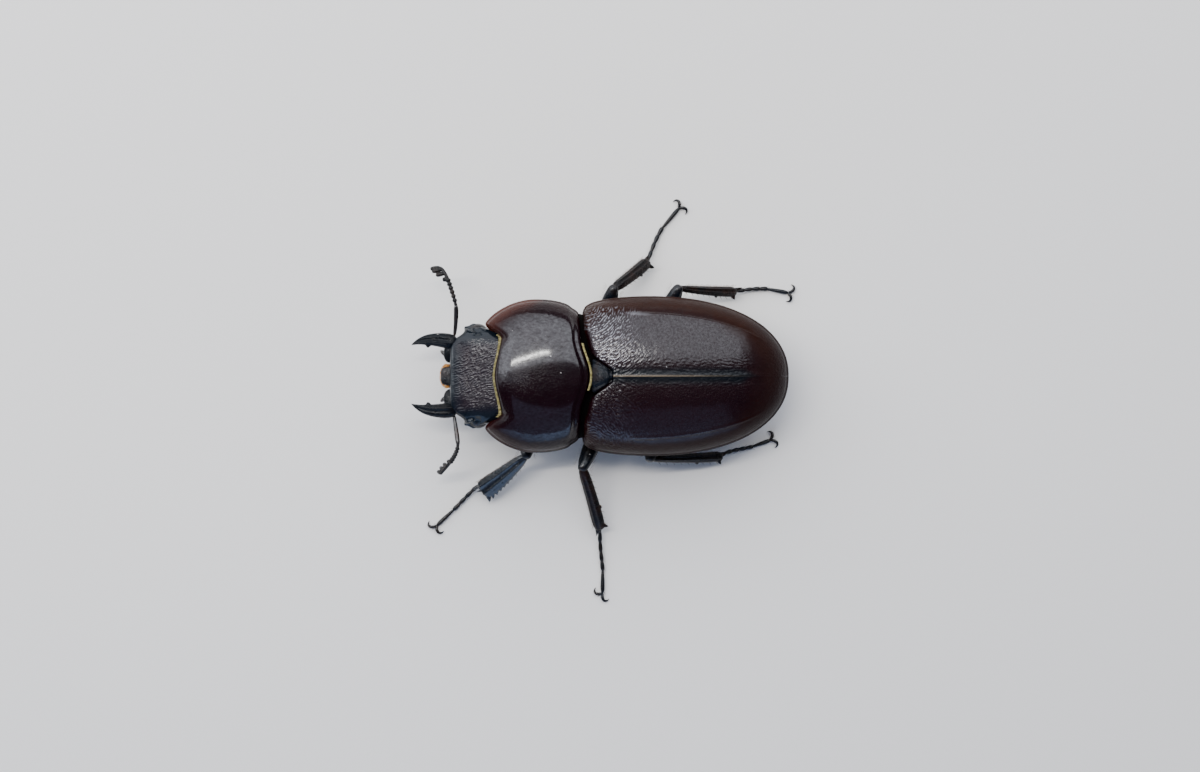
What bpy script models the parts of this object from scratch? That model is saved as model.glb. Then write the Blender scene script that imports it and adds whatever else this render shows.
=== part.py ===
"""A stag beetle, life size, standing still with its short jaws open.

+Z is up.  The beetle faces -X, its right side is towards +Y, and its feet stand on Z = 0.
The sizes below are in millimetres, and settle() turns the finished solids into metres.  Every
hard plate of the body is a closed solid of its own: a sphere whose points are pushed out to the
plate's outline, with a thin cut, JOINT_GAP, between it and the plates that it meets.
"""

import math

import bmesh
import bpy
from mathutils import Vector

MM = 0.001

# Driving sizes.  X is counted from the waist, where the thorax shield meets the wing cases.
JOINT_GAP = 0.1
WING_CASE_LENGTH = 18.85
WING_CASE_HALF_WIDTH = 7.5
WING_CASE_WIDEST_X = 5.6
WING_CASE_RISE = 4.8
SHIELD_LENGTH = 9.1
SHIELD_HALF_WIDTH = 7.2
SHIELD_RISE = 4.3
HEAD_FRONT_X = -13.35
HEAD_HALF_WIDTH = 4.8
RIM_HEIGHT = 5.6  # the side rim of the shield and wing cases, above the ground
RIM_SLOPE = -0.045  # how the rim sinks towards the tail
BELLY_DEPTH = 3.3
ANKLE_Z = 1.15
FOOT_Z = 0.2  # height of the middle of the foot joints, whose undersides are cut flat at 0

CHITIN_MAROON = ("chitin_maroon", (0.060, 0.017, 0.017), 0.28)
CHITIN_BLACK = ("chitin_black", (0.014, 0.013, 0.015), 0.32)
CHITIN_BROWN = ("chitin_brown", (0.040, 0.018, 0.012), 0.38)
EYE_BLACK = ("eye_black", (0.006, 0.006, 0.008), 0.12)

RIGHT, LEFT = 1, -1
SIDE_NAMES = {RIGHT: "right", LEFT: "left"}
PLAIN_FORMS = {}


# ---------------------------------------------------------------- the scene and its materials


def clear_scene():
    for obj in list(bpy.data.objects):
        bpy.data.objects.remove(obj)


def collection(name):
    made = bpy.data.collections.new(name)
    bpy.context.scene.collection.children.link(made)
    return made


def material(name, colour, roughness):
    found = bpy.data.materials.get(name)
    if found:
        return found
    made = bpy.data.materials.new(name)
    made.use_nodes = True
    surface = made.node_tree.nodes["Principled BSDF"]
    surface.inputs["Base Color"].default_value = (*colour, 1.0)
    surface.inputs["Roughness"].default_value = roughness
    surface.inputs["Metallic"].default_value = 0.0
    return made


# ---------------------------------------------------------------- how a solid is made


def squared(a, b, power):
    """The point (a, b) of the unit circle, moved out onto a superellipse of that power."""
    reach = (abs(a) ** power + abs(b) ** power) ** (1.0 / power)
    return a / reach, b / reach


def form(name, finish, place, around=16, along=10, ends=(2.0, 2.0), section=(2.0, 2.0)):
    """A closed solid from a sphere with its poles fore and aft.

    ends are the superellipse powers of its fore and aft ends, and section those of its under
    and upper half.  place(s, side, up) gives a point in millimetres from s, -1 at the fore
    pole to 1 at the aft one, and the place in the cross-section, each -1 to 1.
    """
    shape = bmesh.new()
    bmesh.ops.create_uvsphere(shape, u_segments=around, v_segments=along, radius=1.0)
    for vert in shape.verts:
        side, up, s = vert.co
        ring = math.hypot(side, up)
        if ring < 1e-6:
            vert.co = Vector(place(s, 0.0, 0.0))
            continue
        side, up = squared(side / ring, up / ring, section[up > 0])
        s, ring = squared(s, ring, ends[s > 0])
        vert.co = Vector(place(s, ring * side, ring * up))
    bmesh.ops.triangulate(shape, faces=shape.faces)
    if shape.calc_volume(signed=True) < 0.0:
        bmesh.ops.reverse_faces(shape, faces=shape.faces)
    mesh = bpy.data.meshes.new(name)
    shape.to_mesh(mesh)
    shape.free()
    mesh.shade_smooth()
    mesh.set_sharp_from_angle(angle=math.radians(40))
    mesh.materials.append(material(*finish))
    made = bpy.data.objects.new(name, mesh)
    BEETLE.objects.link(made)
    PLAIN_FORMS[name] = mesh.copy()  # before any cut or join, for its neighbours to be cut by
    return made


def keep_side(obj, point, normal):
    """Cuts a solid with a plane, keeps the side that normal points to and closes the cut."""
    shape = bmesh.new()
    shape.from_mesh(obj.data)
    bmesh.ops.bisect_plane(
        shape,
        geom=shape.verts[:] + shape.edges[:] + shape.faces[:],
        dist=1e-5,
        plane_co=Vector(point),
        plane_no=Vector(normal),
        clear_inner=True,
    )
    rims = [edge for edge in shape.edges if edge.is_boundary]
    bmesh.ops.holes_fill(shape, edges=rims, sides=0)
    shape.to_mesh(obj.data)
    shape.free()
    return obj


def copy_of(obj, name):
    made = bpy.data.objects.new(name, obj.data.copy())
    BEETLE.objects.link(made)
    PLAIN_FORMS[name] = PLAIN_FORMS[obj.name]
    return made


def boolean(obj, other, operation):
    """Applies a Boolean with the EXACT solver, so that later cuts see its result."""
    modifier = obj.modifiers.new(operation.lower(), "BOOLEAN")
    modifier.operation = operation
    modifier.object = other
    bpy.context.view_layer.update()
    result = bpy.data.meshes.new_from_object(obj.evaluated_get(bpy.context.evaluated_depsgraph_get()))
    obj.modifiers.remove(modifier)
    obj.data = result


def joined(first, *others):
    """One closed solid of several that grow into each other."""
    for other in others:
        boolean(first, other, "UNION")
        bpy.data.objects.remove(other)
    return first


def cleared(obj, *neighbours):
    """Cuts away what of obj comes nearer than JOINT_GAP to a neighbour's plain form."""
    for neighbour in neighbours:
        cutter = copy_of(neighbour, "cutter")
        cutter.data = PLAIN_FORMS[neighbour.name].copy()
        for vert in cutter.data.vertices:
            vert.co += vert.normal * JOINT_GAP
        boolean(obj, cutter, "DIFFERENCE")
        bpy.data.objects.remove(cutter)
    return obj


def curve_point(pulls, t):
    """The point at t, 0 to 1, of the smooth curve that starts and ends at the outer pulls."""
    points = [Vector(point) for point in pulls]
    while len(points) > 1:
        points = [a.lerp(b, t) for a, b in zip(points, points[1:])]
    return points[0]


def limb(name, finish, pulls, half_width, half_depth, lean=(0, 0, 1), **shape):
    """A joint of a leg, jaw or feeler along a curve.

    half_width(t) and half_depth(t) are its half sizes across, the depth on the side of lean.
    """
    step = 0.02

    def place(s, side, up):
        t = (s + 1.0) / 2.0
        ahead = curve_point(pulls, min(t + step, 1.0))
        behind = curve_point(pulls, max(t - step, 0.0))
        run = (ahead - behind).normalized()
        wide = run.cross(Vector(lean)).normalized()
        thick = wide.cross(run)
        return curve_point(pulls, t) + wide * side * half_width(t) + thick * up * half_depth(t)

    return form(name, finish, place, **shape)


def rim_z(x):
    """Height of the side rim over the ground."""
    return RIM_HEIGHT + RIM_SLOPE * x


def smooth_step(low, high, value):
    t = min(max((value - low) / (high - low), 0.0), 1.0)
    return t * t * (3.0 - 2.0 * t)


# ---------------------------------------------------------------- wing cases, thorax and belly


def shield_rear_x(y):
    """The hind edge of the thorax shield, which bows back at the middle."""
    return 0.1 - 0.85 * smooth_step(0.0, 3.6, abs(y)) - 0.4 * (abs(y) / 6.5) ** 4


def shield_front_x(y):
    """The front edge, which bows forward at the middle and ends in two forward corners."""
    notch = 0.55 * smooth_step(0.0, 3.6, abs(y))
    corner = 1.9 * smooth_step(3.6, 4.6, abs(y))
    return 0.1 - SHIELD_LENGTH + notch - corner


def thorax_point(s, side, up):
    """The prothorax: widest behind its middle, and narrower towards the head."""
    widest = 0.19
    if s < widest:
        narrowing = 0.33 * ((widest - s) / (1.0 + widest)) ** 2.2
    else:
        narrowing = 0.11 * ((s - widest) / (1.0 - widest)) ** 2.2
    y = SHIELD_HALF_WIDTH * (1.0 - narrowing) * side
    share = (s + 1.0) / 2.0
    x = shield_front_x(y) * (1.0 - share) + shield_rear_x(y) * share
    droop = 0.28 * (0.15 - s) ** 2 / 1.32 if s < 0.15 else 0.11 * (s - 0.15) ** 2 / 0.72
    rise = SHIELD_RISE if up > 0 else BELLY_DEPTH
    return x, y, rim_z(x) + rise * (1.0 - droop) * up


def make_thorax():
    """The shield over the prothorax and the breast plate under it."""
    shield = form(
        "pronotum", CHITIN_MAROON, thorax_point, around=20, along=12, ends=(9.0, 10.0), section=(1.9, 2.3)
    )
    breast = copy_of(shield, "prosternum")
    breast.data.materials[0] = material(*CHITIN_BLACK)
    tilt = (-RIM_SLOPE, 0.0, 1.0)
    keep_side(shield, (0, 0, rim_z(0)), tilt)
    keep_side(breast, (0, 0, rim_z(0) - JOINT_GAP), (RIM_SLOPE, 0.0, -1.0))
    return shield, breast


def wing_case_point(s, side, up):
    """Both wing cases as one dome, with square shoulders and a rounded common tail."""
    if s < 0:
        x = WING_CASE_WIDEST_X * (1.0 + s)
        half_width = WING_CASE_HALF_WIDTH * (1.0 - 0.125 * abs(s) ** 2.3)
        rise = WING_CASE_RISE * (1.0 - 0.08 * s * s)
    else:
        x = WING_CASE_WIDEST_X + (WING_CASE_LENGTH - WING_CASE_WIDEST_X) * s
        half_width, rise = WING_CASE_HALF_WIDTH, WING_CASE_RISE
    y = half_width * side
    follow = 1.0 - smooth_step(0.0, WING_CASE_WIDEST_X, x)
    x += follow * (shield_rear_x(y) + 0.28)
    return x, y, rim_z(x) + rise * up


def make_wing_cases(scutellum):
    """The two hard fore wings, which meet in a straight seam down the back."""
    dome = form(
        "elytron_right", CHITIN_MAROON, wing_case_point, around=20, along=16, ends=(12.0, 2.2), section=(2.0, 2.35)
    )
    keep_side(dome, (0, 0, rim_z(0)), (-RIM_SLOPE, 0.0, 1.0))
    other = copy_of(dome, "elytron_left")
    for wing_case, side in ((dome, RIGHT), (other, LEFT)):
        keep_side(wing_case, (0, side * JOINT_GAP / 2.0, 0), (0, side, 0))
        cleared(wing_case, scutellum)
    return dome, other


def make_scutellum(shield):
    """The small three-cornered plate between the wing-case shoulders."""
    length, half_width, thickness = 2.0, 1.7, 0.4

    def place(s, side, up):
        share = (s + 1.0) / 2.0
        x = 0.2 + length * share
        y = half_width * side * (1.0 - 0.45 * share)
        crown = rim_z(x) + WING_CASE_RISE * (0.865 + 0.03 * share) - 0.1 * side * side
        return x, y, crown + thickness * up

    plate = form("scutellum", CHITIN_BLACK, place, around=10, along=8, ends=(6.0, 2.0), section=(4.0, 2.6))
    return cleared(plate, shield)


def belly_point(front_x, rear_x, front_width):
    """A plate of the belly, under the rims of the wing cases."""

    def place(s, side, up):
        x = front_x + (rear_x - front_x) * (s + 1.0) / 2.0
        tail = max(x - WING_CASE_WIDEST_X, 0.0) / (WING_CASE_LENGTH - WING_CASE_WIDEST_X)
        taper = max(1.0 - tail**2.2, 0.0) ** 0.5
        shoulders = front_width + (1.0 - front_width) * smooth_step(front_x, front_x + 3.0, x)
        y = (WING_CASE_HALF_WIDTH - 0.45) * taper * shoulders * side
        return x, y, rim_z(x) - JOINT_GAP + BELLY_DEPTH * taper**0.6 * up

    return place


def make_belly():
    """The breast plate between the four hind legs, and the ringed abdomen behind it."""
    split_x = 9.2
    sternum = form(
        "metasternum", CHITIN_BLACK, belly_point(0.55, split_x, 0.72), around=16, along=8, ends=(9.0, 9.0), section=(1.75, 2.0)
    )
    abdomen = form(
        "abdomen",
        CHITIN_BROWN,
        belly_point(split_x + JOINT_GAP, WING_CASE_LENGTH - 0.75, 1.0),
        around=16,
        along=8,
        ends=(9.0, 3.0),
        section=(1.75, 2.0),
    )
    for plate in (sternum, abdomen):
        keep_side(plate, (0, 0, rim_z(0) - JOINT_GAP), (RIM_SLOPE, 0.0, -1.0))
    return sternum, abdomen


# ---------------------------------------------------------------- head, eyes, jaws and feelers


def head_point(s, side, up):
    """The flat, broad head, widest at the eyes."""
    rear_x = -7.6
    x = HEAD_FRONT_X + (rear_x - HEAD_FRONT_X) * (s + 1.0) / 2.0
    brow = math.exp(-(((x + 10.9) / 1.1) ** 2))
    half_width = HEAD_HALF_WIDTH * (0.80 + 0.20 * brow + 0.10 * smooth_step(-11.5, -9.0, x))
    half_width *= 1.0 - 0.07 * smooth_step(-12.0, HEAD_FRONT_X, x)
    y = min(half_width, HEAD_HALF_WIDTH) * side
    middle_z = 5.15 + 0.05 * (x - HEAD_FRONT_X)
    rise = 1.15 + 0.20 * (x - HEAD_FRONT_X)
    depth = 1.35 + 0.05 * (x - HEAD_FRONT_X)
    dish = 0.12 * (1.0 - side * side) if up > 0 else 0.0
    return x, y, middle_z + (rise if up > 0 else depth) * up - dish * up


def make_head(shield):
    """The head capsule, with a socket for each eye, and the two eyes."""
    head = form("head", CHITIN_BLACK, head_point, around=16, along=12, ends=(5.0, 5.0), section=(2.6, 3.4))
    eyes = []
    for side in (RIGHT, LEFT):

        def place(s, across, up, side=side):
            return -10.7 + 0.95 * s, side * (4.25 + 0.75 * across), 5.15 + 0.85 * up

        eyes.append(form("eye_" + SIDE_NAMES[side], EYE_BLACK, place, around=8, along=6))
    cleared(head, shield, *eyes)
    return head, eyes


def make_lip(head):
    """The upper lip, a two-lobed tongue of shell between the jaws."""

    def place(s, side, up):
        notch = 0.16 * math.exp(-((side / 0.3) ** 2))
        x = HEAD_FRONT_X + 0.25 + 1.15 * s + (notch if s < 0 else 0.0)
        return x, 0.85 * side * (1.0 + 0.1 * s), 5.2 + 0.42 * up

    lip = form("labrum", CHITIN_BLACK, place, around=12, along=7, ends=(2.6, 3.0), section=(3.0, 3.0))
    return cleared(lip, head)


def make_jaw(side, tip_y, head):
    """A short jaw, curved inwards to a point, with one blunt tooth and a broad inner heel."""
    base = Vector((HEAD_FRONT_X + 0.6, side * 3.2, 5.2))
    tip = Vector((-17.1, tip_y, 5.4))
    bow = [base, base.lerp(tip, 0.4) + Vector((0, side * 0.45, 0.1)), tip + Vector((1.2, side * 0.75, 0.1)), tip]
    blade = limb(
        "mandible_" + SIDE_NAMES[side],
        CHITIN_BLACK,
        bow,
        lambda t: 0.80 * (1.0 - t) ** 0.6 + 0.06,
        lambda t: 0.72 * (1.0 - t) ** 0.8 + 0.10,
        around=8,
        along=10,
        ends=(4.0, 2.0),
    )
    tooth_root = curve_point(bow, 0.55)
    tooth = limb(
        "tooth",
        CHITIN_BLACK,
        [tooth_root, tooth_root + Vector((-0.1, -side * 0.78, 0.05))],
        lambda t: 0.50 - 0.22 * t,
        lambda t: 0.34 - 0.10 * t,
        around=6,
        along=4,
    )
    heel = limb(
        "heel",
        CHITIN_BLACK,
        [base + Vector((-0.2, 0.0, -0.1)), base + Vector((-0.45, -side * 1.85, -0.15))],
        lambda t: 0.85 - 0.2 * t,
        lambda t: 0.5 - 0.1 * t,
        around=6,
        along=6,
        ends=(2.0, 2.6),
    )
    return cleared(joined(blade, tooth, heel), head)


def make_palp(side, head):
    """A jaw feeler, bent out and down from under the mouth."""
    root = Vector((HEAD_FRONT_X + 0.9, side * 1.55, 3.95))
    route = [root, root + Vector((-1.2, side * 0.25, -0.2)), root + Vector((-1.9, side * 0.9, -1.0))]
    palp = limb(
        "palp_" + SIDE_NAMES[side],
        CHITIN_BROWN,
        route,
        lambda t: 0.27,
        lambda t: 0.27,
        around=6,
        along=7,
        ends=(3.0, 2.4),
    )
    return cleared(palp, head)


def make_feeler(side, socket, lash_route, leaf_run, neighbours):
    """An elbowed feeler: a long first joint, a beaded lash, and a comb of four leaves."""
    name = "antenna_" + SIDE_NAMES[side]
    elbow = Vector(lash_route[0])
    turn = Vector((socket[0] + 0.3, elbow.y * 0.55 + socket[1] * 0.45, socket[2] + 0.2))
    shaft = limb(
        name + "_scape",
        CHITIN_BLACK,
        [socket, turn, elbow],
        lambda t: 0.25 + 0.06 * t,
        lambda t: 0.25 + 0.06 * t,
        around=6,
        along=7,
        ends=(3.0, 3.0),
    )
    cleared(shaft, *neighbours)
    lash = limb(
        name + "_lash",
        CHITIN_BLACK,
        lash_route,
        lambda t: 0.25,
        lambda t: 0.25,
        around=6,
        along=8,
        ends=(3.0, 3.0),
    )
    leaves = []
    for number, (t, length) in enumerate(((0.55, 0.45), (0.70, 0.75), (0.84, 0.9), (0.97, 0.85))):
        root = curve_point(lash_route, t)
        leaves.append(
            limb(
                f"leaf_{number}",
                CHITIN_BROWN,
                [root, root + Vector(leaf_run) * length],
                lambda t: 0.25 - 0.02 * t,
                lambda t: 0.27,
                around=6,
                along=4,
                ends=(2.6, 2.6),
            )
        )
    joined(lash, *leaves)
    cleared(lash, shaft)
    return shaft, lash


# ---------------------------------------------------------------- legs


def claws(toe, run, gap_side):
    """One of the two hooks at the end of a foot, curling back past the toe."""
    across = Vector((-run.y, run.x, 0.0)) * gap_side
    route = [
        toe - run * 0.1,
        toe + run * 0.75 + across * 0.30,
        toe + run * 0.60 + across * 1.05 - Vector((0, 0, 0.05)),
        toe - run * 0.10 + across * 0.95 - Vector((0, 0, 0.10)),
    ]
    return limb(
        "claw", CHITIN_BLACK, route, lambda t: 0.25 - 0.10 * t, lambda t: 0.25 - 0.10 * t, around=4, along=5
    )


def make_foot(name, pulls, shin):
    """Five foot joints and two claws, flat where they touch the ground."""
    ends = (0.0, 0.17, 0.32, 0.47, 0.62, 1.0)
    joints = []
    for start, stop in zip(ends, ends[1:]):
        reach = [curve_point(pulls, start - 0.02 if start else 0.0), curve_point(pulls, stop + 0.02 if stop < 1 else 1.0)]
        joints.append(
            limb(
                name if start == 0.0 else "joint",
                CHITIN_BLACK,
                reach,
                lambda t: 0.235 + 0.055 * t,
                lambda t: 0.25 + 0.05 * t,
                around=6,
                along=4,
                ends=(2.6, 2.6),
            )
        )
    toe = curve_point(pulls, 1.0)
    run = toe - curve_point(pulls, 0.9)
    run = Vector((run.x, run.y, 0.0)).normalized()
    foot = joined(*joints, claws(toe, run, RIGHT), claws(toe, run, LEFT))
    cleared(foot, shin)
    return keep_side(foot, (0, 0, 0), (0, 0, 1))


def make_shin(name, knee, ankle, outer, teeth, tooth_length, half_widths, flare, thigh):
    """A shin, flattened and wider towards the foot, with teeth along its outer edge."""
    run = (ankle - knee).normalized()
    edge = (outer - run * outer.dot(run)).normalized()
    lean = edge.cross(run)
    narrow, broad = half_widths
    bow = [knee, knee.lerp(ankle, 0.5) + edge * 0.15, ankle]
    shin = limb(
        name,
        CHITIN_BLACK,
        bow,
        lambda t: narrow + (broad - narrow) * t**flare,
        lambda t: 0.44 - 0.08 * t,
        lean=lean,
        around=8,
        along=7,
        ends=(3.0, 5.0),
    )
    spikes = []
    for number in range(teeth):
        t = 0.92 - 0.60 * number / max(teeth, 2)
        half_width = narrow + (broad - narrow) * t**flare
        root = curve_point(bow, t) + edge * half_width * 0.25
        size = half_width * 0.35 + tooth_length * (1.0 - 0.45 * number / max(teeth, 2))
        spikes.append(
            limb(
                "spike",
                CHITIN_BLACK,
                [root, root + edge * size + run * size * 0.45],
                lambda t: 0.36 * (1.0 - t) + 0.08,
                lambda t: 0.24 * (1.0 - t) + 0.08,
                lean=lean,
                around=5,
                along=4,
            )
        )
    spur_root = ankle - edge * broad * 0.45 - run * 0.45
    spikes.append(
        limb(
            "spur",
            CHITIN_BLACK,
            [spur_root, spur_root + run * 1.25 - edge * 0.25],
            lambda t: 0.22 * (1.0 - t) + 0.08,
            lambda t: 0.22 * (1.0 - t) + 0.08,
            around=5,
            along=4,
        )
    )
    joined(shin, *spikes)
    return cleared(shin, thigh)


def make_leg(name, coxa, knee, ankle, foot, outer, teeth, tooth_length, half_widths, flare, body):
    """Hip, thigh, shin and foot, from the belly outwards."""
    coxa, knee, ankle = Vector(coxa), Vector(knee), Vector((*ankle, ANKLE_Z))
    foot = [Vector((*point, z)) for point, z in zip(foot, (0.75 * ANKLE_Z, FOOT_Z, FOOT_Z, FOOT_Z))]
    side = 1.0 if coxa.y > 0 else -1.0

    def hip_place(s, across, up):
        return coxa.x + 1.15 * across, coxa.y + 1.55 * s + side * 0.1, coxa.z + 0.95 * up

    hip = form(name + "_coxa", CHITIN_BLACK, hip_place, around=8, along=5)
    for plate in body:
        cleared(plate, hip)
    past_knee = knee + (knee - coxa).normalized() * 0.4
    thigh = limb(
        name + "_femur",
        CHITIN_BLACK,
        [coxa + Vector((0, side * 0.6, -0.15)), coxa.lerp(knee, 0.5) + Vector((0, 0, -0.25)), past_knee],
        lambda t: 0.62 + 0.24 * math.sin(math.pi * min(t * 1.1, 1.0)),
        lambda t: 0.50 + 0.14 * math.sin(math.pi * min(t * 1.1, 1.0)),
        around=8,
        along=6,
        ends=(3.0, 3.0),
    )
    cleared(thigh, hip, *body)
    shin = make_shin(
        name + "_tibia", knee, ankle, Vector(outer), teeth, tooth_length, half_widths, flare, thigh
    )
    make_foot(name + "_tarsus", foot, shin)


# Name, hip, knee, ankle, the foot's route, the way the toothed edge faces, and the shin's build:
# its teeth, the longest of them, its half widths at knee and ankle, and how it flares.
FORE = (5, 0.62, (0.42, 1.05), 0.75)
MIDDLE = (2, 0.50, (0.42, 0.62), 1.3)
HIND = (2, 0.45, (0.30, 0.58), 1.0)
LEGS = (
    ("leg_front_left", (-5.3, -2.2, 2.9), (-6.05, -7.3, 3.9), (-10.5, -11.15),
     ((-10.75, -10.5), (-12.0, -11.5), (-13.3, -13.2), (-14.9, -14.5)), (1.0, -1.0, 0.0), FORE),
    ("leg_front_right", (-5.3, 2.2, 2.9), (-4.7, 6.2, 3.7), (-8.5, 4.7),
     ((-8.9, 4.9), (-9.6, 4.3), (-10.9, 3.7), (-12.4, 2.7)), (-0.5, 1.0, 0.0), FORE),
    ("leg_middle_left", (1.6, -2.7, 2.6), (-0.75, -8.8, 4.4), (0.95, -14.8),
     ((0.95, -14.9), (0.8, -17.0), (1.5, -19.0), (1.2, -21.2)), (1.0, -0.1, 0.0), MIDDLE),
    ("leg_middle_right", (1.6, 2.7, 2.6), (2.2, 8.7, 4.6), (5.6, 11.1),
     ((5.6, 11.2), (6.2, 12.9), (6.7, 14.6), (8.6, 16.3)), (0.8, -0.6, 0.0), MIDDLE),
    ("leg_hind_left", (7.0, -2.8, 2.6), (5.7, -7.9, 4.1), (12.8, -7.75),
     ((12.9, -7.5), (14.4, -6.9), (15.9, -7.1), (17.5, -6.2)), (0.0, -1.0, 0.0), HIND),
    ("leg_hind_right", (7.0, 2.8, 2.6), (8.5, 8.4, 4.3), (14.1, 8.15),
     ((14.1, 8.2), (15.6, 8.5), (17.3, 8.75), (19.2, 8.1)), (0.0, -1.0, 0.0), HIND),
)


def settle():
    """Puts the origin on the ground under the middle of the whole, and turns sizes into metres."""
    corners = [vert.co for part in BEETLE.objects for vert in part.data.vertices]
    middle = [(min(c[k] for c in corners) + max(c[k] for c in corners)) / 2.0 for k in range(2)]
    shift = Vector((-middle[0], -middle[1], 0.0))
    for part in BEETLE.objects:
        for vert in part.data.vertices:
            vert.co = (vert.co + shift) * MM


def build():
    shield, breast = make_thorax()
    scutellum = make_scutellum(shield)
    make_wing_cases(scutellum)
    sternum, abdomen = make_belly()
    head, eyes = make_head(shield)
    make_lip(head)
    jaws = {RIGHT: make_jaw(RIGHT, 2.9, head), LEFT: make_jaw(LEFT, -2.6, head)}
    for side in (RIGHT, LEFT):
        make_palp(side, head)
    make_feeler(
        RIGHT,
        (HEAD_FRONT_X + 0.35, 3.4, 4.95),
        ((-12.75, 6.8, 5.7), (-13.2, 8.3, 5.8), (-13.7, 10.1, 5.4), (-14.4, 10.4, 5.0)),
        (-0.97, -0.2, 0.0),
        (head, jaws[RIGHT]),
    )
    make_feeler(
        LEFT,
        (HEAD_FRONT_X + 0.3, -3.3, 4.95),
        ((-12.55, -6.6, 5.5), (-12.8, -7.9, 5.2), (-13.6, -8.4, 4.5), (-14.3, -9.4, 3.8)),
        (-0.35, 0.15, -0.92),
        (head, jaws[LEFT]),
    )
    for name, coxa, knee, ankle, foot, outer, build_of_shin in LEGS:
        body = (breast,) if "front" in name else (sternum, abdomen) if "hind" in name else (sternum,)
        make_leg(name, coxa, knee, ankle, foot, outer, *build_of_shin, body)
    settle()


clear_scene()
BEETLE = collection("stag_beetle")
build()
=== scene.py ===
import bisect
import math
import random

import bmesh
import bpy
from mathutils import Matrix, Vector, noise


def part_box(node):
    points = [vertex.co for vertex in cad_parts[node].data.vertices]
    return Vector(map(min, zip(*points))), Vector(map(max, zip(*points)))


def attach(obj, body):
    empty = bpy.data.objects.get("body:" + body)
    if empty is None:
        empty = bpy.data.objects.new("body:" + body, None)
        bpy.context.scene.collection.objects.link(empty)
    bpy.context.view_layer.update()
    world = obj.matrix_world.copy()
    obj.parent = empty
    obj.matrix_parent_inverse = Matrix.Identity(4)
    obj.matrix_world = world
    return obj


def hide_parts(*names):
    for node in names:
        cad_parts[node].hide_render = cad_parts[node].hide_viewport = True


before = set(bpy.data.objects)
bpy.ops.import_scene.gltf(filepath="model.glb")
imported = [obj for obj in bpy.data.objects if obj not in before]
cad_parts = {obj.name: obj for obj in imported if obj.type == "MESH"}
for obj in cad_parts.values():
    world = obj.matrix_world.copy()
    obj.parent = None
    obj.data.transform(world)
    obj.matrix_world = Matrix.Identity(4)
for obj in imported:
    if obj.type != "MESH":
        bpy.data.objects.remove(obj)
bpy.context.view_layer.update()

# ------------------------------------------------------------------ wing cases
# The two hard fore wings of a beetle: thin domes of lacquered chitin that meet in a straight seam
# down the back. Each has a bead along its outer margin and along the seam, a wrinkled and pitted
# base, a satin middle and a faint fold that runs back from the shoulder.

MM = 0.001
RIGHT, LEFT = 1, -1
SIDE_NAMES = {RIGHT: "right", LEFT: "left"}

case_low, case_high = [Vector(corner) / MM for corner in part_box("elytron_right")]
CASE_LENGTH = 18.85  # from the waist, where the thorax shield meets the wing cases
WAIST = Vector((case_high.x - CASE_LENGTH, (case_low.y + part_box("elytron_left")[1].y / MM) / 2.0, 0.0))
CASE_HALF_WIDTH = 7.5
CASE_WIDEST_X = 5.6
CASE_RISE = 4.8
RIM_HEIGHT, RIM_SLOPE = 5.6, -0.045
SEAM_HALF_GAP = 0.004
SHIELD_GAP = 0.28  # from the hind edge of the thorax shield to the wing cases
PLATE_X, PLATE_LENGTH = 0.2, 2.0  # of the three-cornered plate between the shoulders
SHOULDER_X, SHOULDER_Y = -0.5, 7.1  # the ripples of the base run in arcs round it
BASE_RIPPLES, SEAM_RIPPLES = (0.22, 0.042), (0.27, 0.015)  # how far apart and how deep they are
BACK_STEPS = 400  # in which the way over a form's back is measured
SHARP_EDGE = math.radians(75)
ROUND = (2.0, 2.0)  # the superellipse powers of a form that is round at both ends
UP = (0.0, 0.0, 1.0)


def rim_z(x):
    """Height of the side rim over the ground, at x from the waist."""
    return RIM_HEIGHT + RIM_SLOPE * x


def eased(low, high, value):
    """0 below low, 1 above high and smooth between."""
    share = min(max((value - low) / (high - low), 0.0), 1.0)
    return share * share * (3.0 - 2.0 * share)


def hump(value, middle, width):
    """A smooth hump, 1 high at middle."""
    return math.exp(-(((value - middle) / width) ** 2))


def superellipse(a, b, power):
    """The point of a superellipse in the direction of a and b."""
    reach = (abs(a) ** power + abs(b) ** power) ** (1.0 / power)
    return a / reach, b / reach


def over_back(angle, ends):
    """How far along a form, and how wide its ring is there, at an angle from the fore pole."""
    return superellipse(-math.cos(angle), math.sin(angle), ends[angle > math.pi / 2.0])


def even_rings(place, ends):
    """Angles from the fore pole, by share of the way over a form's back, so that rings lie evenly."""
    angles = [math.pi * k / BACK_STEPS for k in range(BACK_STEPS + 1)]
    back = []
    for angle in angles:
        s, ring = over_back(angle, ends)
        back.append(Vector(place(s, 0.0, ring)))
    run = [0.0]
    for a, b in zip(back, back[1:]):
        run.append(run[-1] + (b - a).length)
    return angles, [length / run[-1] for length in run]


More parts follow.
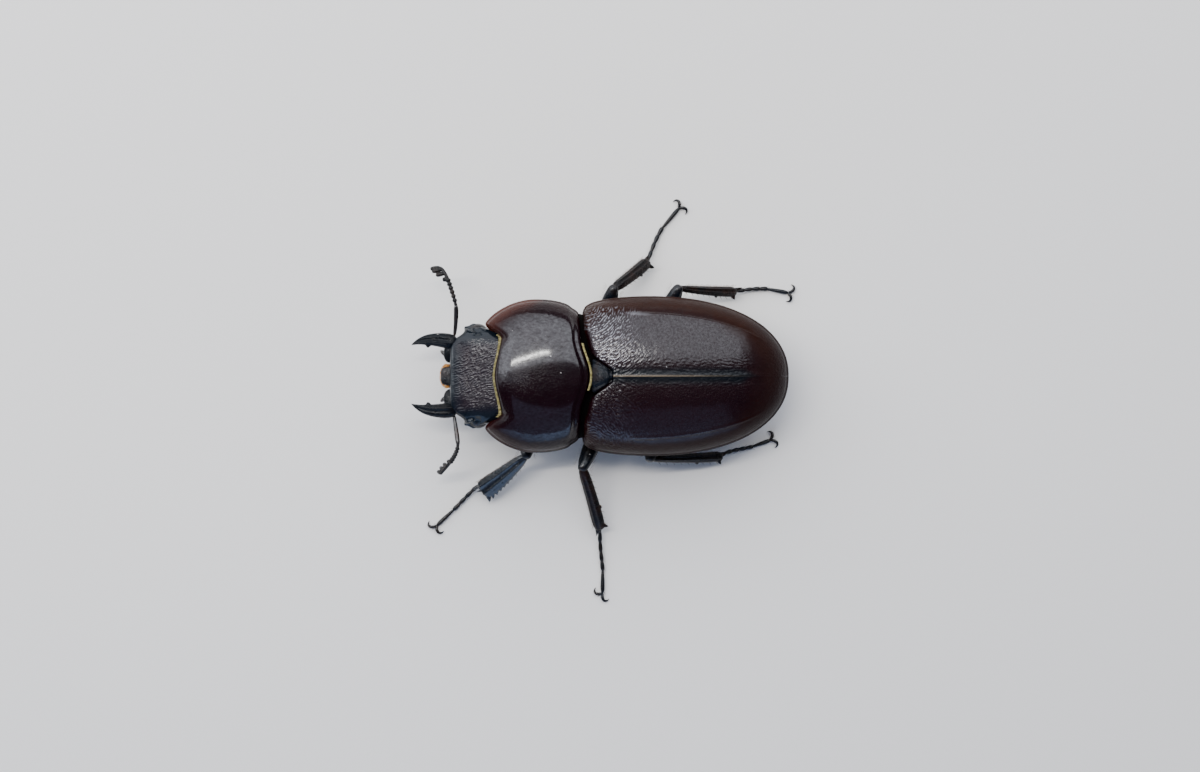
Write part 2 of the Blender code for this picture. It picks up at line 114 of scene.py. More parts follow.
def form(place, around, along, ends=ROUND, section=ROUND, relief=None, upper=False, cuts=3):
    """A closed form, in millimetres from the waist, made from a sphere with its poles fore and aft.

    place(s, side, up) gives a point from s, -1 at the fore pole to 1 at the aft one, and the place
    in the cross-section. ends and section say how square it is fore and aft, and below and above.
    relief(s, side, up, point) then lifts each point off the surface, and the attribute "lift" keeps
    how far. upper leaves out the lower half, for a form that is cut there.
    """
    shape = bmesh.new()
    steps = cuts + 1
    bmesh.ops.create_uvsphere(shape, u_segments=around // steps, v_segments=along // steps, radius=1.0)
    if upper:
        below = [vert for vert in shape.verts if vert.co.y < -0.08]
        bmesh.ops.delete(shape, geom=below, context="VERTS")
    if cuts:
        bmesh.ops.subdivide_edges(shape, edges=shape.edges, cuts=cuts, use_grid_fill=True)
    angles, shares = even_rings(place, ends)
    heart = Vector(place(0.0, 0.0, 0.0))
    spots = []
    for vert in shape.verts:
        aim = vert.co.normalized()
        share = math.acos(max(-1.0, min(1.0, -aim.z))) / math.pi
        k = min(max(bisect.bisect_right(shares, share), 1), BACK_STEPS)
        part = (share - shares[k - 1]) / max(shares[k] - shares[k - 1], 1e-9)
        angle = angles[k - 1] + (angles[k] - angles[k - 1]) * min(max(part, 0.0), 1.0)
        s, ring = over_back(angle, ends)
        across = math.hypot(aim.x, aim.y)
        if across < 1e-6:
            side, up, ring = 0.0, 0.0, 0.0
        else:
            side, up = superellipse(aim.x / across, aim.y / across, section[aim.y > 0])
        spots.append((s, ring * side, ring * up))
        vert.co = place(*spots[-1])
    shape.normal_update()
    facing_in = [face for face in shape.faces if face.normal.dot(face.calc_center_median() - heart) < 0.0]
    if 2 * len(facing_in) > len(shape.faces):
        bmesh.ops.reverse_faces(shape, faces=shape.faces)
        shape.normal_update()
    if relief:
        lifts = [relief(*spot, vert.co) for spot, vert in zip(spots, shape.verts)]
        kept = shape.verts.layers.float.new("lift")
        for vert, lift in zip(shape.verts, lifts):
            vert.co += vert.normal * lift
            vert[kept] = lift
    return shape


def keep_side(shape, point, normal):
    """Cuts the form with a plane, keeps the side that normal points to and closes the cut."""
    every = shape.verts[:] + shape.edges[:] + shape.faces[:]
    bmesh.ops.bisect_plane(
        shape, geom=every, dist=1e-5, plane_co=Vector(point), plane_no=Vector(normal), clear_inner=True
    )
    rims = [edge for edge in shape.edges if edge.is_boundary]
    bmesh.ops.holes_fill(shape, edges=rims, sides=0)


def put_in_scene(name, data):
    """Adds an object of that name to the scene."""
    made = bpy.data.objects.new(name, data)
    bpy.context.scene.collection.objects.link(made)
    return made


def piece(name, shape, finish, slot, *nodes):
    """Puts a form on the waist of the beetle, in metres, as a piece that replaces its CAD nodes."""
    bmesh.ops.translate(shape, vec=WAIST, verts=shape.verts)
    bmesh.ops.scale(shape, vec=Vector((MM, MM, MM)), verts=shape.verts)
    mesh = bpy.data.meshes.new(name)
    shape.to_mesh(mesh)
    shape.free()
    mesh.shade_smooth()
    mesh.set_sharp_from_angle(angle=SHARP_EDGE)
    mesh.materials.append(finish)
    made = put_in_scene(name, mesh)
    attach(made, "root")
    if nodes:
        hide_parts(*nodes)


def operator(operation, swapped=False):
    """A method that joins a signal and a value or another signal with a Math node."""

    def join(signal, other):
        first, second = (other, signal) if swapped else (signal, other)
        return signal.finish.node("ShaderNodeMath", {"operation": operation}, {0: first, 1: second})

    return join


class Signal:
    """A shader socket. Sums, products and comparisons of signals add their own Math nodes."""

    def __init__(self, finish, socket):
        self.finish, self.socket = finish, socket

    def __abs__(self):
        return self.finish.node("ShaderNodeMath", {"operation": "ABSOLUTE"}, {0: self})

    __add__ = __radd__ = operator("ADD")
    __sub__, __rsub__ = operator("SUBTRACT"), operator("SUBTRACT", swapped=True)
    __mul__ = __rmul__ = operator("MULTIPLY")
    __lt__, __gt__, larger = operator("LESS_THAN"), operator("GREATER_THAN"), operator("MAXIMUM")


class Finish:
    """A material on the piece's own coordinates, in millimetres."""

    def __init__(self, name, **surface):
        self.material = bpy.data.materials.new(name)
        self.material.use_nodes = True
        self.tree = self.material.node_tree
        self.surface = self.tree.nodes["Principled BSDF"]
        for name, value in surface.items():
            socket = name.replace("_", " ").title().replace("Ior", "IOR")
            self.surface.inputs[socket].default_value = value
        place = self.node("ShaderNodeTexCoord", output="Object")
        self.place = self.node(
            "ShaderNodeMapping", {}, {"Vector": place, "Scale": (1.0 / MM,) * 3, "Location": tuple(-WAIST)}
        )

    def node(self, kind, settings=None, inputs=None, output=0):
        """Adds a node: its settings first, then the values or signals of its sockets."""
        made = self.tree.nodes.new(kind)
        for name, value in (settings or {}).items():
            setattr(made, name, value)
        for name, value in (inputs or {}).items():
            if isinstance(value, Signal):
                self.tree.links.new(value.socket, made.inputs[name])
            else:
                made.inputs[name].default_value = value
        return Signal(self, made.outputs[output])

    def parts(self, vector):
        """The x, y and z of a vector."""
        split = self.node("ShaderNodeSeparateXYZ", {}, {0: vector}).socket.node
        return [Signal(self, socket) for socket in split.outputs]

    def stretched(self, scale):
        """The piece's coordinates, stretched so that a pattern on them is drawn out."""
        return self.node("ShaderNodeMapping", {}, {"Vector": self.place, "Scale": scale})

    def clouds(self, size, detail=2.0, roughness=0.5, scale=(1.0, 1.0, 1.0)):
        inputs = {"Vector": self.stretched(scale), "Scale": 1.0 / size}
        inputs.update({"Detail": detail, "Roughness": roughness})
        return self.node("ShaderNodeTexNoise", {}, inputs)

    def cells(self, size, output="Distance"):
        return self.node("ShaderNodeTexVoronoi", {}, {"Vector": self.place, "Scale": 1.0 / size}, output)

    def lift(self):
        """How far the relief lifts the surface, in millimetres."""
        return self.node("ShaderNodeAttribute", {"attribute_name": "lift"}, output="Fac")

    def spread(self, value, low, high):
        """0 below low, 1 above high and smooth between."""
        inputs = {"Value": value, "From Min": low, "From Max": high}
        return self.node("ShaderNodeMapRange", {"interpolation_type": "SMOOTHSTEP"}, inputs)

    def blend(self, share, a, b):
        """The colour a where share is 0 and b where it is 1."""
        mixed = self.node("ShaderNodeMix", {"data_type": "RGBA"}, {"Factor": share}, output=2)
        for socket, colour in zip(mixed.socket.node.inputs[6:8], (a, b)):
            if isinstance(colour, Signal):
                self.tree.links.new(colour.socket, socket)
            else:
                socket.default_value = (*colour, 1.0)
        return mixed

    def set(self, socket, signal):
        self.tree.links.new(signal.socket, self.surface.inputs[socket])

    def bump(self, height, depth):
        """Lets a height in millimetres times depth lift the surface."""
        inputs = {"Height": height, "Strength": 1.0, "Distance": depth * MM}
        self.set("Normal", self.node("ShaderNodeBump", {}, inputs))


def dusted(finish, colour):
    """The colour with a few pale specks of dust on it."""
    chosen = finish.parts(finish.cells(0.9, output="Color"))[0] > 0.88
    speck = (finish.cells(0.9) + finish.clouds(0.05) * 0.06 < 0.095) * chosen
    return finish.blend(speck, colour, (0.45, 0.43, 0.40))


def wing_case_finish():
    """Satin mahogany, wrinkled and glossier at the base, redder at the margins and the tail, most on the
    right as painted light; the base ripples carry painted glints and the seam bead a painted highlight.
    """
    finish = Finish("wing_case_chitin", specular_ior_level=0.07, coat_roughness=0.19)
    x, y, z = finish.parts(finish.place)
    height = z + x * -RIM_SLOPE - RIM_HEIGHT
    margin = 1.0 - finish.spread(height + finish.clouds(2.0) * 0.6, 2.8, 4.1)
    tail = finish.spread(x + finish.clouds(1.6) * 1.6, 14.5, 19.5)
    clear = margin.larger(tail * 0.28)
    off_seam = abs(y)
    patchy = finish.clouds(0.7, detail=6.0, roughness=0.7)
    dark = finish.blend(patchy, (0.0045, 0.0006, 0.0015), (0.0105, 0.0016, 0.0036))
    red = finish.blend(patchy, (0.009, 0.0013, 0.0003), (0.023, 0.0046, 0.0010))
    red = finish.blend(tail * 0.7, red, (0.013, 0.0062, 0.0066))
    seam_side = finish.spread(off_seam + tail * 2.0 + finish.clouds(1.0) * 0.3, 0.45, 1.25)
    # Painted light: the red of the margins and the tail is full on the right, the lit side, and dimmer on
    # the left as painted shade.
    lit_right_side = finish.spread(y, -3.0, 3.0)
    colour = finish.blend(clear * (lit_right_side * 0.4 + 0.6), dark, red)
    colour = finish.blend(seam_side, (0.0030, 0.0040, 0.0060), colour)
    # Painted highlight: a tan line along the seam bead, fading towards the tail.
    seam_bead_highlight = (1.0 - finish.spread(off_seam, 0.05, 0.11)) * (1.0 - finish.spread(x, 4.5, 16.0))
    base = 1.0 - finish.spread(x + finish.clouds(1.5) * 2.0, 3.2, 7.2)
    lift = finish.lift()
    # Painted glints: pale grey, mostly metallic colour on the crests of the base ripples, strongest on the
    # right, the lit side.
    glint_lit_side = finish.spread(y, -0.5, 0.5) * 0.9 + 0.1
    crest = base * seam_side * glint_lit_side * finish.spread(lift, 0.010, 0.042) * finish.spread(height, 1.5, 3.0)
    painted_glints = finish.blend(crest, colour, (0.17, 0.165, 0.18))
    finish.set("Base Color", dusted(finish, finish.blend(seam_bead_highlight, painted_glints, (0.13, 0.10, 0.068))))
    dull = finish.clouds(0.5, detail=3.0) * 0.14 + 0.28
    finish.set("Roughness", dull * (1.0 - base * 0.5) + margin * 0.15)
    hollow = base * (1.0 - finish.spread(lift, 0.002, 0.024))
    sheen = (1.0 - clear * 0.88) * (base * 0.30 + 0.70) * (seam_side * 0.50 + 0.50)
    grain = finish.clouds(0.20, detail=3.0, roughness=0.6) * 2.5 - 0.2
    finish.set("Coat Weight", sheen * (1.0 - hollow * 0.5) * grain)
    finish.set("Metallic", crest * 0.88)
    leather = finish.clouds(0.24, detail=3.0, roughness=0.55, scale=(0.6, 1.0, 1.0))
    near_seam = (1.0 - finish.spread(off_seam, 1.4, 3.4)) * finish.spread(x, 6.0, 8.5)
    finish.bump(leather * (base * 1.2 + near_seam * 1.5 + 0.45) + finish.cells(0.13) * 0.40, 0.05)
    return finish.material


def shield_rear_x(y):
    """The hind edge of the thorax shield, which bows back at the middle."""
    return 0.1 - 0.85 * eased(0.0, 3.6, abs(y)) - 0.4 * (abs(y) / 6.5) ** 4


def wing_case_point(s, side, up):
    """Both wing cases as one dome, with square shoulders and a rounded common tail."""
    if s < 0:
        x = CASE_WIDEST_X * (1.0 + s)
        half_width = CASE_HALF_WIDTH * (1.0 - 0.125 * abs(s) ** 2.3)
        rise = CASE_RISE * (1.0 - 0.08 * s * s)
    else:
        x = CASE_WIDEST_X + (CASE_LENGTH - CASE_WIDEST_X) * s
        half_width, rise = CASE_HALF_WIDTH, CASE_RISE
    y = half_width * side
    x += (1.0 - eased(0.0, CASE_WIDEST_X, x)) * (shield_rear_x(y) + SHIELD_GAP)
    return x, y, rim_z(x) + rise * up


def pits(point, size, depth):
    """Round pits with soft rims, scattered a pit's size apart."""
    return -depth * (1.0 - eased(0.0, 0.55, noise.voronoi(point / size)[0][0]))


def wrinkles(point, size, depth, stretch):
    """Worm-like ridges that fork and join."""
    spot = Vector((point.x * stretch[0], point.y * stretch[1], point.z * stretch[2])) / size
    return depth * (1.0 - 2.0 * abs(noise.noise(spot)) - 0.4 * abs(noise.noise(spot * 2.1)))


def ripples(across, length, period, depth, seed=0.0):
    """Ridges a period apart that wander, fork and break off, as on wrinkled leather."""
    wander = 1.1 * period * noise.noise(Vector((length / (3.2 * period), across / (3.4 * period), seed)))
    gaps = noise.noise(Vector((length / (1.15 * period), across / (0.8 * period), seed + 5.0)))
    whole = eased(-0.36, 0.06, gaps)
    return depth * whole * (0.5 + 0.5 * math.cos(2.0 * math.pi * (across + wander) / period))


def plate_half_width(x):
    """Half the width of the three-cornered plate between the shoulders, at x."""
    share = min(max((x - PLATE_X) / PLATE_LENGTH, 0.0), 1.0)
    return 1.68 * (1.0 - 0.80 * share**1.25)


def wing_case_relief(s, side, up, point):
    """Beads at rim and seam, the shoulder fold, the ripples, and room for shield and scutellum."""
    x, y = point.x, abs(point.y)
    height = point.z - rim_z(x)
    lift = 0.11 * hump(height, 0.22, 0.20) - 0.07 * hump(height, 0.72, 0.25)
    middle = eased(1.8, 3.0, x) * (1.0 - eased(15.5, 17.5, x))
    lift += middle * (0.02 * hump(y, 0.04, 0.11) - 0.015 * hump(y, 0.50, 0.30))
    fold = 0.81 - 0.006 * x
    half_width = CASE_HALF_WIDTH * max(1.0 - max(s, 0.0) ** 2.2, 0.02) ** 0.455
    lift += 0.05 * hump(y / half_width, fold, 0.022) * eased(2.5, 5.0, x) * (1.0 - eased(14.5, 17.0, x))
    base = (1.0 - eased(2.2, 8.0, x + 0.3 * abs(y - 3.0))) * (1.0 - eased(6.3, 6.9, y))
    seed = 3.0 if point.y > 0.0 else 9.0
    if base > 0.0:
        across, length = x - SHOULDER_X, y - SHOULDER_Y
        turn = math.atan2(across, -length)
        reach = math.hypot(across, length)
        lift += base * ripples(reach, reach * turn, *BASE_RIPPLES, seed)
    near_seam = (1.0 - eased(1.2, 2.6, y)) * eased(3.5, 6.0, x) * (1.0 - eased(14.5, 16.5, x))
    if near_seam > 0.0:
        lift += near_seam * ripples(y + 0.12 * x, x, *SEAM_RIPPLES, seed)
    lift -= 0.26 * (1.0 - eased(0.0, 0.8, x - shield_rear_x(y) - SHIELD_GAP)) * (1.0 - eased(3.2, 4.4, y))
    lift -= 0.42 * (1.0 - eased(0.02, 0.26, y - plate_half_width(x))) * (1.0 - eased(2.05, 2.25, x))
    return lift + 0.006 * noise.noise(point * 1.6)


wing_case_chitin = wing_case_finish()
dome = form(wing_case_point, 520, 384, (12.0, 2.2), (2.0, 2.35), wing_case_relief, upper=True)
keep_side(dome, (0, 0, rim_z(0)), (-RIM_SLOPE, 0.0, 1.0))
for side, hand in SIDE_NAMES.items():
    half_dome = dome.copy()
    keep_side(half_dome, (0, side * SEAM_HALF_GAP, 0), (0, side, 0))
    piece("wing_case_" + hand, half_dome, wing_case_chitin, "chitin_maroon", "elytron_" + hand)
dome.free()

# ------------------------------------------------------------------ scutellum
# The small three-cornered plate let in between the shoulders of the wing cases. It is black, finely
# wrinkled chitin with a raised edge.


def black_chitin(name, grain, depth, tint, brown=(0.010, 0.006, 0.006), coat=0.35, gloss=0.4):
    """Blue-black chitin, browner in patches, with a fine leathery grain."""
    finish = Finish(name, specular_ior_level=gloss, coat_weight=coat, coat_roughness=0.16)
    patchy = finish.spread(finish.clouds(1.1, detail=3.0), 0.42, 0.68)
    finish.set("Base Color", dusted(finish, finish.blend(patchy, tint, brown)))
    finish.set("Roughness", finish.clouds(0.4, detail=3.0) * 0.18 + 0.20)
    finish.bump(finish.clouds(grain, detail=3.0, roughness=0.6) + finish.cells(grain * 0.8) * 0.5, depth)
    return finish.material


def scutellum_point(s, side, up):
    share = (s + 1.0) / 2.0
    x = PLATE_X + PLATE_LENGTH * share
    sunk = 0.1 * side * side
    crown = rim_z(x) + CASE_RISE * (0.865 + 0.03 * share) - sunk - 0.45 * hump(x, 0.1, 0.55)
    return x, plate_half_width(x) * side, crown + 0.4 * up


def scutellum_relief(s, side, up, point):
    edge = max(abs(side), s)
    lift = 0.05 * hump(edge, 0.86, 0.07) - 0.06 * hump(edge, 0.68, 0.10)
    return lift + wrinkles(point, 0.24, 0.026, (1.2, 0.7, 1.0)) if up > 0 else 0.0


plate = form(scutellum_point, 128, 96, (6.0, 2.0), (4.0, 2.6), scutellum_relief)
plate_chitin = black_chitin("scutellum_chitin", 0.09, 0.03, (0.0025, 0.004, 0.007), coat=0.02, gloss=0.2)
piece("scutellum_plate", plate, plate_chitin, "chitin_black", "scutellum")

# ------------------------------------------------------------------ thorax shield
# The single polished plate over the first part of the thorax: mahogany chitin like lacquer, with
# a raised bead all round, a shallow gutter inside it and pits towards the sides.

SHIELD_LENGTH = 9.1
SHIELD_HALF_WIDTH = 7.2
SHIELD_RISE = 4.3
BELLY_DEPTH = 3.3
JOINT_GAP = 0.1
THORAX_ENDS, THORAX_SECTION = (9.0, 10.0), (1.9, 2.3)


def shield_front_x(y):
    """The front edge, which bows forward at the middle and ends in two forward corners."""
    notch = 0.55 * eased(0.0, 3.6, abs(y))
    corner = 1.9 * eased(3.5, 5.1, abs(y))
    return 0.1 - SHIELD_LENGTH + notch - corner


def thorax_point(s, side, up):
    """The front of the thorax: widest behind its middle, and narrower towards the head."""
    widest = 0.19
    if s < widest:
        narrowing = 0.33 * ((widest - s) / (1.0 + widest)) ** 2.2
    else:
        narrowing = 0.11 * ((s - widest) / (1.0 - widest)) ** 2.2
    y = SHIELD_HALF_WIDTH * (1.0 - narrowing) * side
    share = (s + 1.0) / 2.0
    x = shield_front_x(y) * (1.0 - share) + shield_rear_x(y) * share
    back = 1.0 + 2.0 * (x - 0.1) / SHIELD_LENGTH - 0.15
    droop = 0.28 * back * back / 1.32 if back < 0.0 else 0.11 * back * back / 0.72
    rise = SHIELD_RISE if up > 0 else BELLY_DEPTH
    return x, y, rim_z(x) + rise * (1.0 - droop) * up


def shield_relief(s, side, up, point):
    """The beads at the sides, the front and the back with their gutters, and the pits."""
    x, y = point.x, point.y
    height = point.z - rim_z(x)
    front, back = x - shield_front_x(y), shield_rear_x(y) - x
    lift = 0.10 * hump(height, 0.22, 0.20) - 0.07 * hump(height, 0.80, 0.28)
    front_bead = 0.05 * hump(front, 0.25, 0.15) - 0.03 * hump(front, 0.75, 0.35)
    lift += (1.0 - eased(3.1, 3.8, abs(y))) * front_bead
    lift += 0.07 * hump(back, 0.22, 0.15) - 0.06 * hump(back, 0.62, 0.20)
    pitted = max(eased(0.66, 0.92, abs(y) / SHIELD_HALF_WIDTH), 0.5 * hump(front, 0.9, 0.5))
    if pitted > 0.02:
        lift += pitted * pits(point, 0.30, 0.020)
    return lift + 0.016 * noise.noise(point * 0.42)


def shield_finish():
    """Deep mahogany under a clear gloss, redder towards the front corners; the red is strongest on the
    right, the lit side, as painted light.
    """
    finish = Finish("shield_chitin", specular_ior_level=0.09, coat_roughness=0.115)
    x, y, z = finish.parts(finish.place)
    height = z + x * -RIM_SLOPE - RIM_HEIGHT
    margin = 1.0 - finish.spread(height + finish.clouds(2.4) * 1.2, 0.9, 3.6)
    rim = 1.0 - finish.spread(height + finish.clouds(1.0) * 0.3, 2.2, 3.7)
    corner = 1.0 - finish.spread(x + finish.clouds(1.5) * 1.2, -5.4, -3.6)
    patchy = finish.clouds(1.3, detail=4.0)
    dark = finish.blend(patchy, (0.0028, 0.0002, 0.0011), (0.0072, 0.0005, 0.0026))
    red = finish.blend(patchy, (0.036, 0.0064, 0.0030), (0.076, 0.0155, 0.0062))
    # Painted light: the red is strongest on the right, the lit side, and weaker on the left as painted
    # shade.
    redness = margin * (corner * 0.82 + 0.18) * (finish.spread(y, -3.0, 3.0) * 0.75 + 0.25)
    finish.set("Base Color", dusted(finish, finish.blend(redness, dark, red)))
    finish.set("Roughness", finish.clouds(0.6, detail=3.0) * 0.12 + 0.16 + rim * 0.15)
    grain = finish.clouds(0.22, detail=3.0, roughness=0.65, scale=(0.6, 1.0, 1.0)) * 2.4 - 0.2
    finish.set("Coat Weight", (1.0 - rim * 0.86) * grain)
    finish.bump(finish.clouds(0.25, detail=4.0, roughness=0.55) + finish.cells(0.14) * 0.7, 0.028)
    return finish.material


shield = form(thorax_point, 320, 240, THORAX_ENDS, THORAX_SECTION, shield_relief, upper=True)
keep_side(shield, (0, 0, rim_z(0)), (-RIM_SLOPE, 0.0, 1.0))
piece("thorax_shield", shield, shield_finish(), "chitin_maroon", "pronotum")

# ------------------------------------------------------------------ underside
# Three plates of black chitin close the body below: the breast plate between the front hips, the
# broad hind breast plate, and the belly, whose five rings lap over each other like roof tiles.

BELLY_SPLIT_X = 9.2
BELLY_RINGS = (10.9, 12.6, 14.3, 16.1)
BELLY_SECTION = (1.75, 2.0)


def breast_relief(s, side, up, point):
    keel = 0.30 * hump(point.y, 0.0, 0.55) * eased(-8.2, -7.0, point.x) * (1.0 - eased(-4.0, -2.6, point.x))
    return keel - 0.06 * hump(abs(point.y), 4.6, 0.12) + pits(point, 0.34, 0.05)


def under_plate(name, node, slot, place, ends, section, relief):
    """A plate under the body, cut off level with the rims."""
    plate = form(place, 160, 120, ends, section, relief)
    keep_side(plate, (0, 0, rim_z(0) - JOINT_GAP), (RIM_SLOPE, 0.0, -1.0))
    piece(name, plate, under_chitin, slot, node)


under_chitin = black_chitin("under_chitin", 0.18, 0.03, (0.006, 0.005, 0.006), (0.024, 0.010, 0.007))
under_plate(
    "breast_plate", "prosternum", "chitin_black", thorax_point, THORAX_ENDS, THORAX_SECTION, breast_relief
)


def belly_point(front_x, rear_x, front_width):
    """A plate of the belly, under the rims of the wing cases."""

    def place(s, side, up):
        x = front_x + (rear_x - front_x) * (s + 1.0) / 2.0
        tail = max(x - CASE_WIDEST_X, 0.0) / (CASE_LENGTH - CASE_WIDEST_X)
        taper = max(1.0 - tail**2.2, 0.0) ** 0.5
        shoulders = front_width + (1.0 - front_width) * eased(front_x, front_x + 3.0, x)
        y = (CASE_HALF_WIDTH - 0.45) * taper * shoulders * side
        return x, y, rim_z(x) - JOINT_GAP + BELLY_DEPTH * taper**0.6 * up

    return place


def hind_breast_relief(s, side, up, point):
    middle = -0.14 * hump(point.y, 0.0, 0.10) * eased(2.6, 3.4, point.x)
    slant = -0.07 * hump(abs(point.y), 4.7 + 0.14 * (point.x - 4.0), 0.10)
    return middle + slant + pits(point, 0.32, 0.045) * eased(0.8, 3.6, abs(point.y))


def belly_relief(s, side, up, point):
    lift = 0.0
    for ring_x in BELLY_RINGS:
        gap = point.x - ring_x
        lift += 0.07 * hump(gap, -0.25, 0.22) - 0.13 * hump(gap, 0.06, 0.09)
    return lift + pits(point, 0.30, 0.030)


hind_breast_point = belly_point(0.55, BELLY_SPLIT_X, 0.72)
rings_point = belly_point(BELLY_SPLIT_X + JOINT_GAP, CASE_LENGTH - 0.75, 1.0)
under_plate(
    "hind_breast_plate", "metasternum", "chitin_black",
    hind_breast_point, (9.0, 9.0), BELLY_SECTION, hind_breast_relief,
)
under_plate(
    "belly_rings", "abdomen", "chitin_brown", rings_point, (9.0, 3.0), BELLY_SECTION, belly_relief
)

# ------------------------------------------------------------------ head
# The flat, broad head capsule: thick black-brown chitin with worm-like wrinkles over its middle and
# smooth sides, a cheek ridge in front of each eye and a thin raised front edge.

HEAD_FRONT_X = -13.35
HEAD_REAR_X = -7.6
HEAD_HALF_WIDTH = 4.8
HEAD_DISH = 0.12
HEAD_SQUARENESS = 3.4
RIPPLE_RISE = 0.30  # how far the ripples turn out to the right as they run back


def head_heights(x):
    """Height of the head's middle at x, and how far its top and its underside lie from there."""
    back = x - HEAD_FRONT_X
    return 5.15 + 0.05 * back, 1.15 + 0.20 * back, 1.35 + 0.05 * back


def head_point(s, side, up):
    x = HEAD_FRONT_X + (HEAD_REAR_X - HEAD_FRONT_X) * (s + 1.0) / 2.0
    half_width = HEAD_HALF_WIDTH * (0.80 + 0.20 * hump(x, -10.9, 1.1) + 0.10 * eased(-11.5, -9.0, x))
    y = min(half_width, HEAD_HALF_WIDTH) * side
    middle_z, rise, depth = head_heights(x)
    dish = HEAD_DISH * (1.0 - side * side) if up > 0 else 0.0
    return x, y, middle_z + (rise if up > 0 else depth) * up - dish * up


def head_top(x, y):
    """Height of the head's upper face, for what lies on it."""
    side = min(abs(y) / HEAD_HALF_WIDTH, 0.99)
    middle_z, rise, _ = head_heights(x)
    rise -= HEAD_DISH * (1.0 - side * side)
    return middle_z + rise * (1.0 - side**HEAD_SQUARENESS) ** (1.0 / HEAD_SQUARENESS)


def head_relief(s, side, up, point):
    """A chin plate below; above, the wrinkled middle, the front edge, cheek ridges and eye shelves."""
    if up <= 0.0:
        chin = max(abs(point.y) / 2.1, abs(point.x + 12.0) / 1.3)
        chin_plate = 0.10 * (1.0 - eased(0.90, 1.00, chin)) - 0.07 * hump(chin, 1.07, 0.05)
        return pits(point, 0.34, 0.035) + chin_plate
    x, y = point.x, abs(point.y)
    rough = (1.0 - eased(2.9, 4.0, y)) * eased(-13.2, -12.5, x)
    lift = 0.0
    if rough > 0.01:
        across, length = point.y - RIPPLE_RISE * x, x + RIPPLE_RISE * point.y
        fine = wrinkles(point, 0.30, 0.012, (0.7, 1.0, 0.7))
        lift = rough * (ripples(across, length, 0.205, 0.042) + fine)
    lift += 0.07 * hump(x - HEAD_FRONT_X, 0.22, 0.14)
    lift -= 0.15 * hump(math.hypot(x + 12.35, y - 2.9), 0.0, 0.55)
    ridge = 0.22 * hump(y, 4.15 + 0.20 * hump(x, -11.9, 0.8), 0.16) * eased(-13.0, -12.3, x)
    lift += ridge * (1.0 - eased(-11.3, -10.8, x))
    lift -= 0.30 * hump(math.hypot((x + 10.75) * 0.8, y - 4.35), 0.0, 0.50) * eased(3.6, 4.0, y)
    shelf = 0.30 * hump(point.z, 5.42, 0.16) * eased(4.2, 4.5, y)
    lift += shelf * eased(-12.8, -12.1, x) * (1.0 - eased(-10.9, -10.4, x))
    return lift + 0.010 * noise.noise(point * 2.0)


def head_finish():
    """Black-brown chitin, purple-brown over the wrinkled middle and blue-black at the sides."""
    finish = Finish("head_chitin", specular_ior_level=0.22, coat_roughness=0.14)
    x, y, _ = finish.parts(finish.place)
    sides = finish.spread(abs(y) + finish.clouds(1.2) * 0.8, 2.8, 4.3)
    front = 1.0 - finish.spread(x + finish.clouds(1.0) * 0.6, -13.0, -11.4)
    cool = sides.larger(front)
    patchy = finish.clouds(0.8, detail=3.0)
    warm = finish.blend(patchy, (0.006, 0.004, 0.007), (0.016, 0.008, 0.012))
    finish.set("Base Color", dusted(finish, finish.blend(cool, warm, (0.003, 0.006, 0.010))))
    finish.set("Roughness", (finish.clouds(0.3, detail=3.0) * 0.16 + 0.26) * (1.0 - sides * 0.55))
    crest = finish.spread(finish.lift(), 0.006, 0.040)
    finish.set("Coat Weight", crest * (0.56 - sides * 0.30) + sides * 0.10)
    finish.bump(finish.clouds(0.10, detail=3.0, roughness=0.6) * (1.0 - sides * 0.6), 0.022)
    return finish.material


head = form(head_point, 416, 224, (5.0, 5.0), (2.6, HEAD_SQUARENESS), head_relief)
piece("head_capsule", head, head_finish(), "chitin_black", "head")

# ------------------------------------------------------------------ eyes
# Two domed compound eyes let into the sides of the head: jet-black and glossy, of thousands of
# six-sided facets that show as a faint honeycomb.


def eye_finish():
    finish = Finish("eye_facets", specular_ior_level=0.35, coat_weight=0.15, coat_roughness=0.12)
    finish.set("Base Color", finish.blend(finish.clouds(0.6), (0.003, 0.003, 0.004), (0.012, 0.009, 0.009)))
    finish.set("Roughness", finish.clouds(0.3) * 0.10 + 0.22)
    finish.bump(1.0 - finish.cells(0.05), 0.006)
    return finish.material


eye_facets = eye_finish()
for side, hand in SIDE_NAMES.items():

    def eye_point(s, across, up, side=side):
        return -10.7 + 0.95 * s, side * (4.25 + 0.74 * across), 5.15 + 0.92 * up

    eye = form(eye_point, 64, 48)
    piece("eye_dome_" + hand, eye, eye_facets, "eye_black", "eye_" + hand)

# ------------------------------------------------------------------ golden fringes of the shield
# Close rows of short golden hairs that close the gaps round the shield: one lies forward from under
# its front edge over the head, the other lies back from its hind edge over the scutellum.

HAIR_PATCH = 0.003  # how wide a hair's place is on the unwrapped skin
chance = random.Random(11)


def new_coat():
    """An empty coat of hairs, with the map that holds each hair's place on the skin."""
    coat = bmesh.new()
    coat.loops.layers.uv.new("OFBake")
    return coat


def hair(coat, root, run, length, thick, spot):
    """One tapered hair of three sides, in millimetres, whose root is at spot on the unwrapped skin."""
    run = Vector(run).normalized()
    turned = run.to_track_quat("Z", "Y").to_matrix().to_4x4()
    turned.translation = Vector(root) + run * length * 0.5
    made = bmesh.ops.create_cone(
        coat, cap_ends=True, segments=3, radius1=thick, radius2=thick * 0.25, depth=length, matrix=turned
    )
    skin_map = coat.loops.layers.uv["OFBake"]
    faces = {face for vert in made["verts"] for face in vert.link_faces}
    for face in faces:
        for corner, loop in enumerate(face.loops):
            loop[skin_map].uv = spot[0] + HAIR_PATCH * (corner % 2), spot[1] + HAIR_PATCH * (corner // 2)


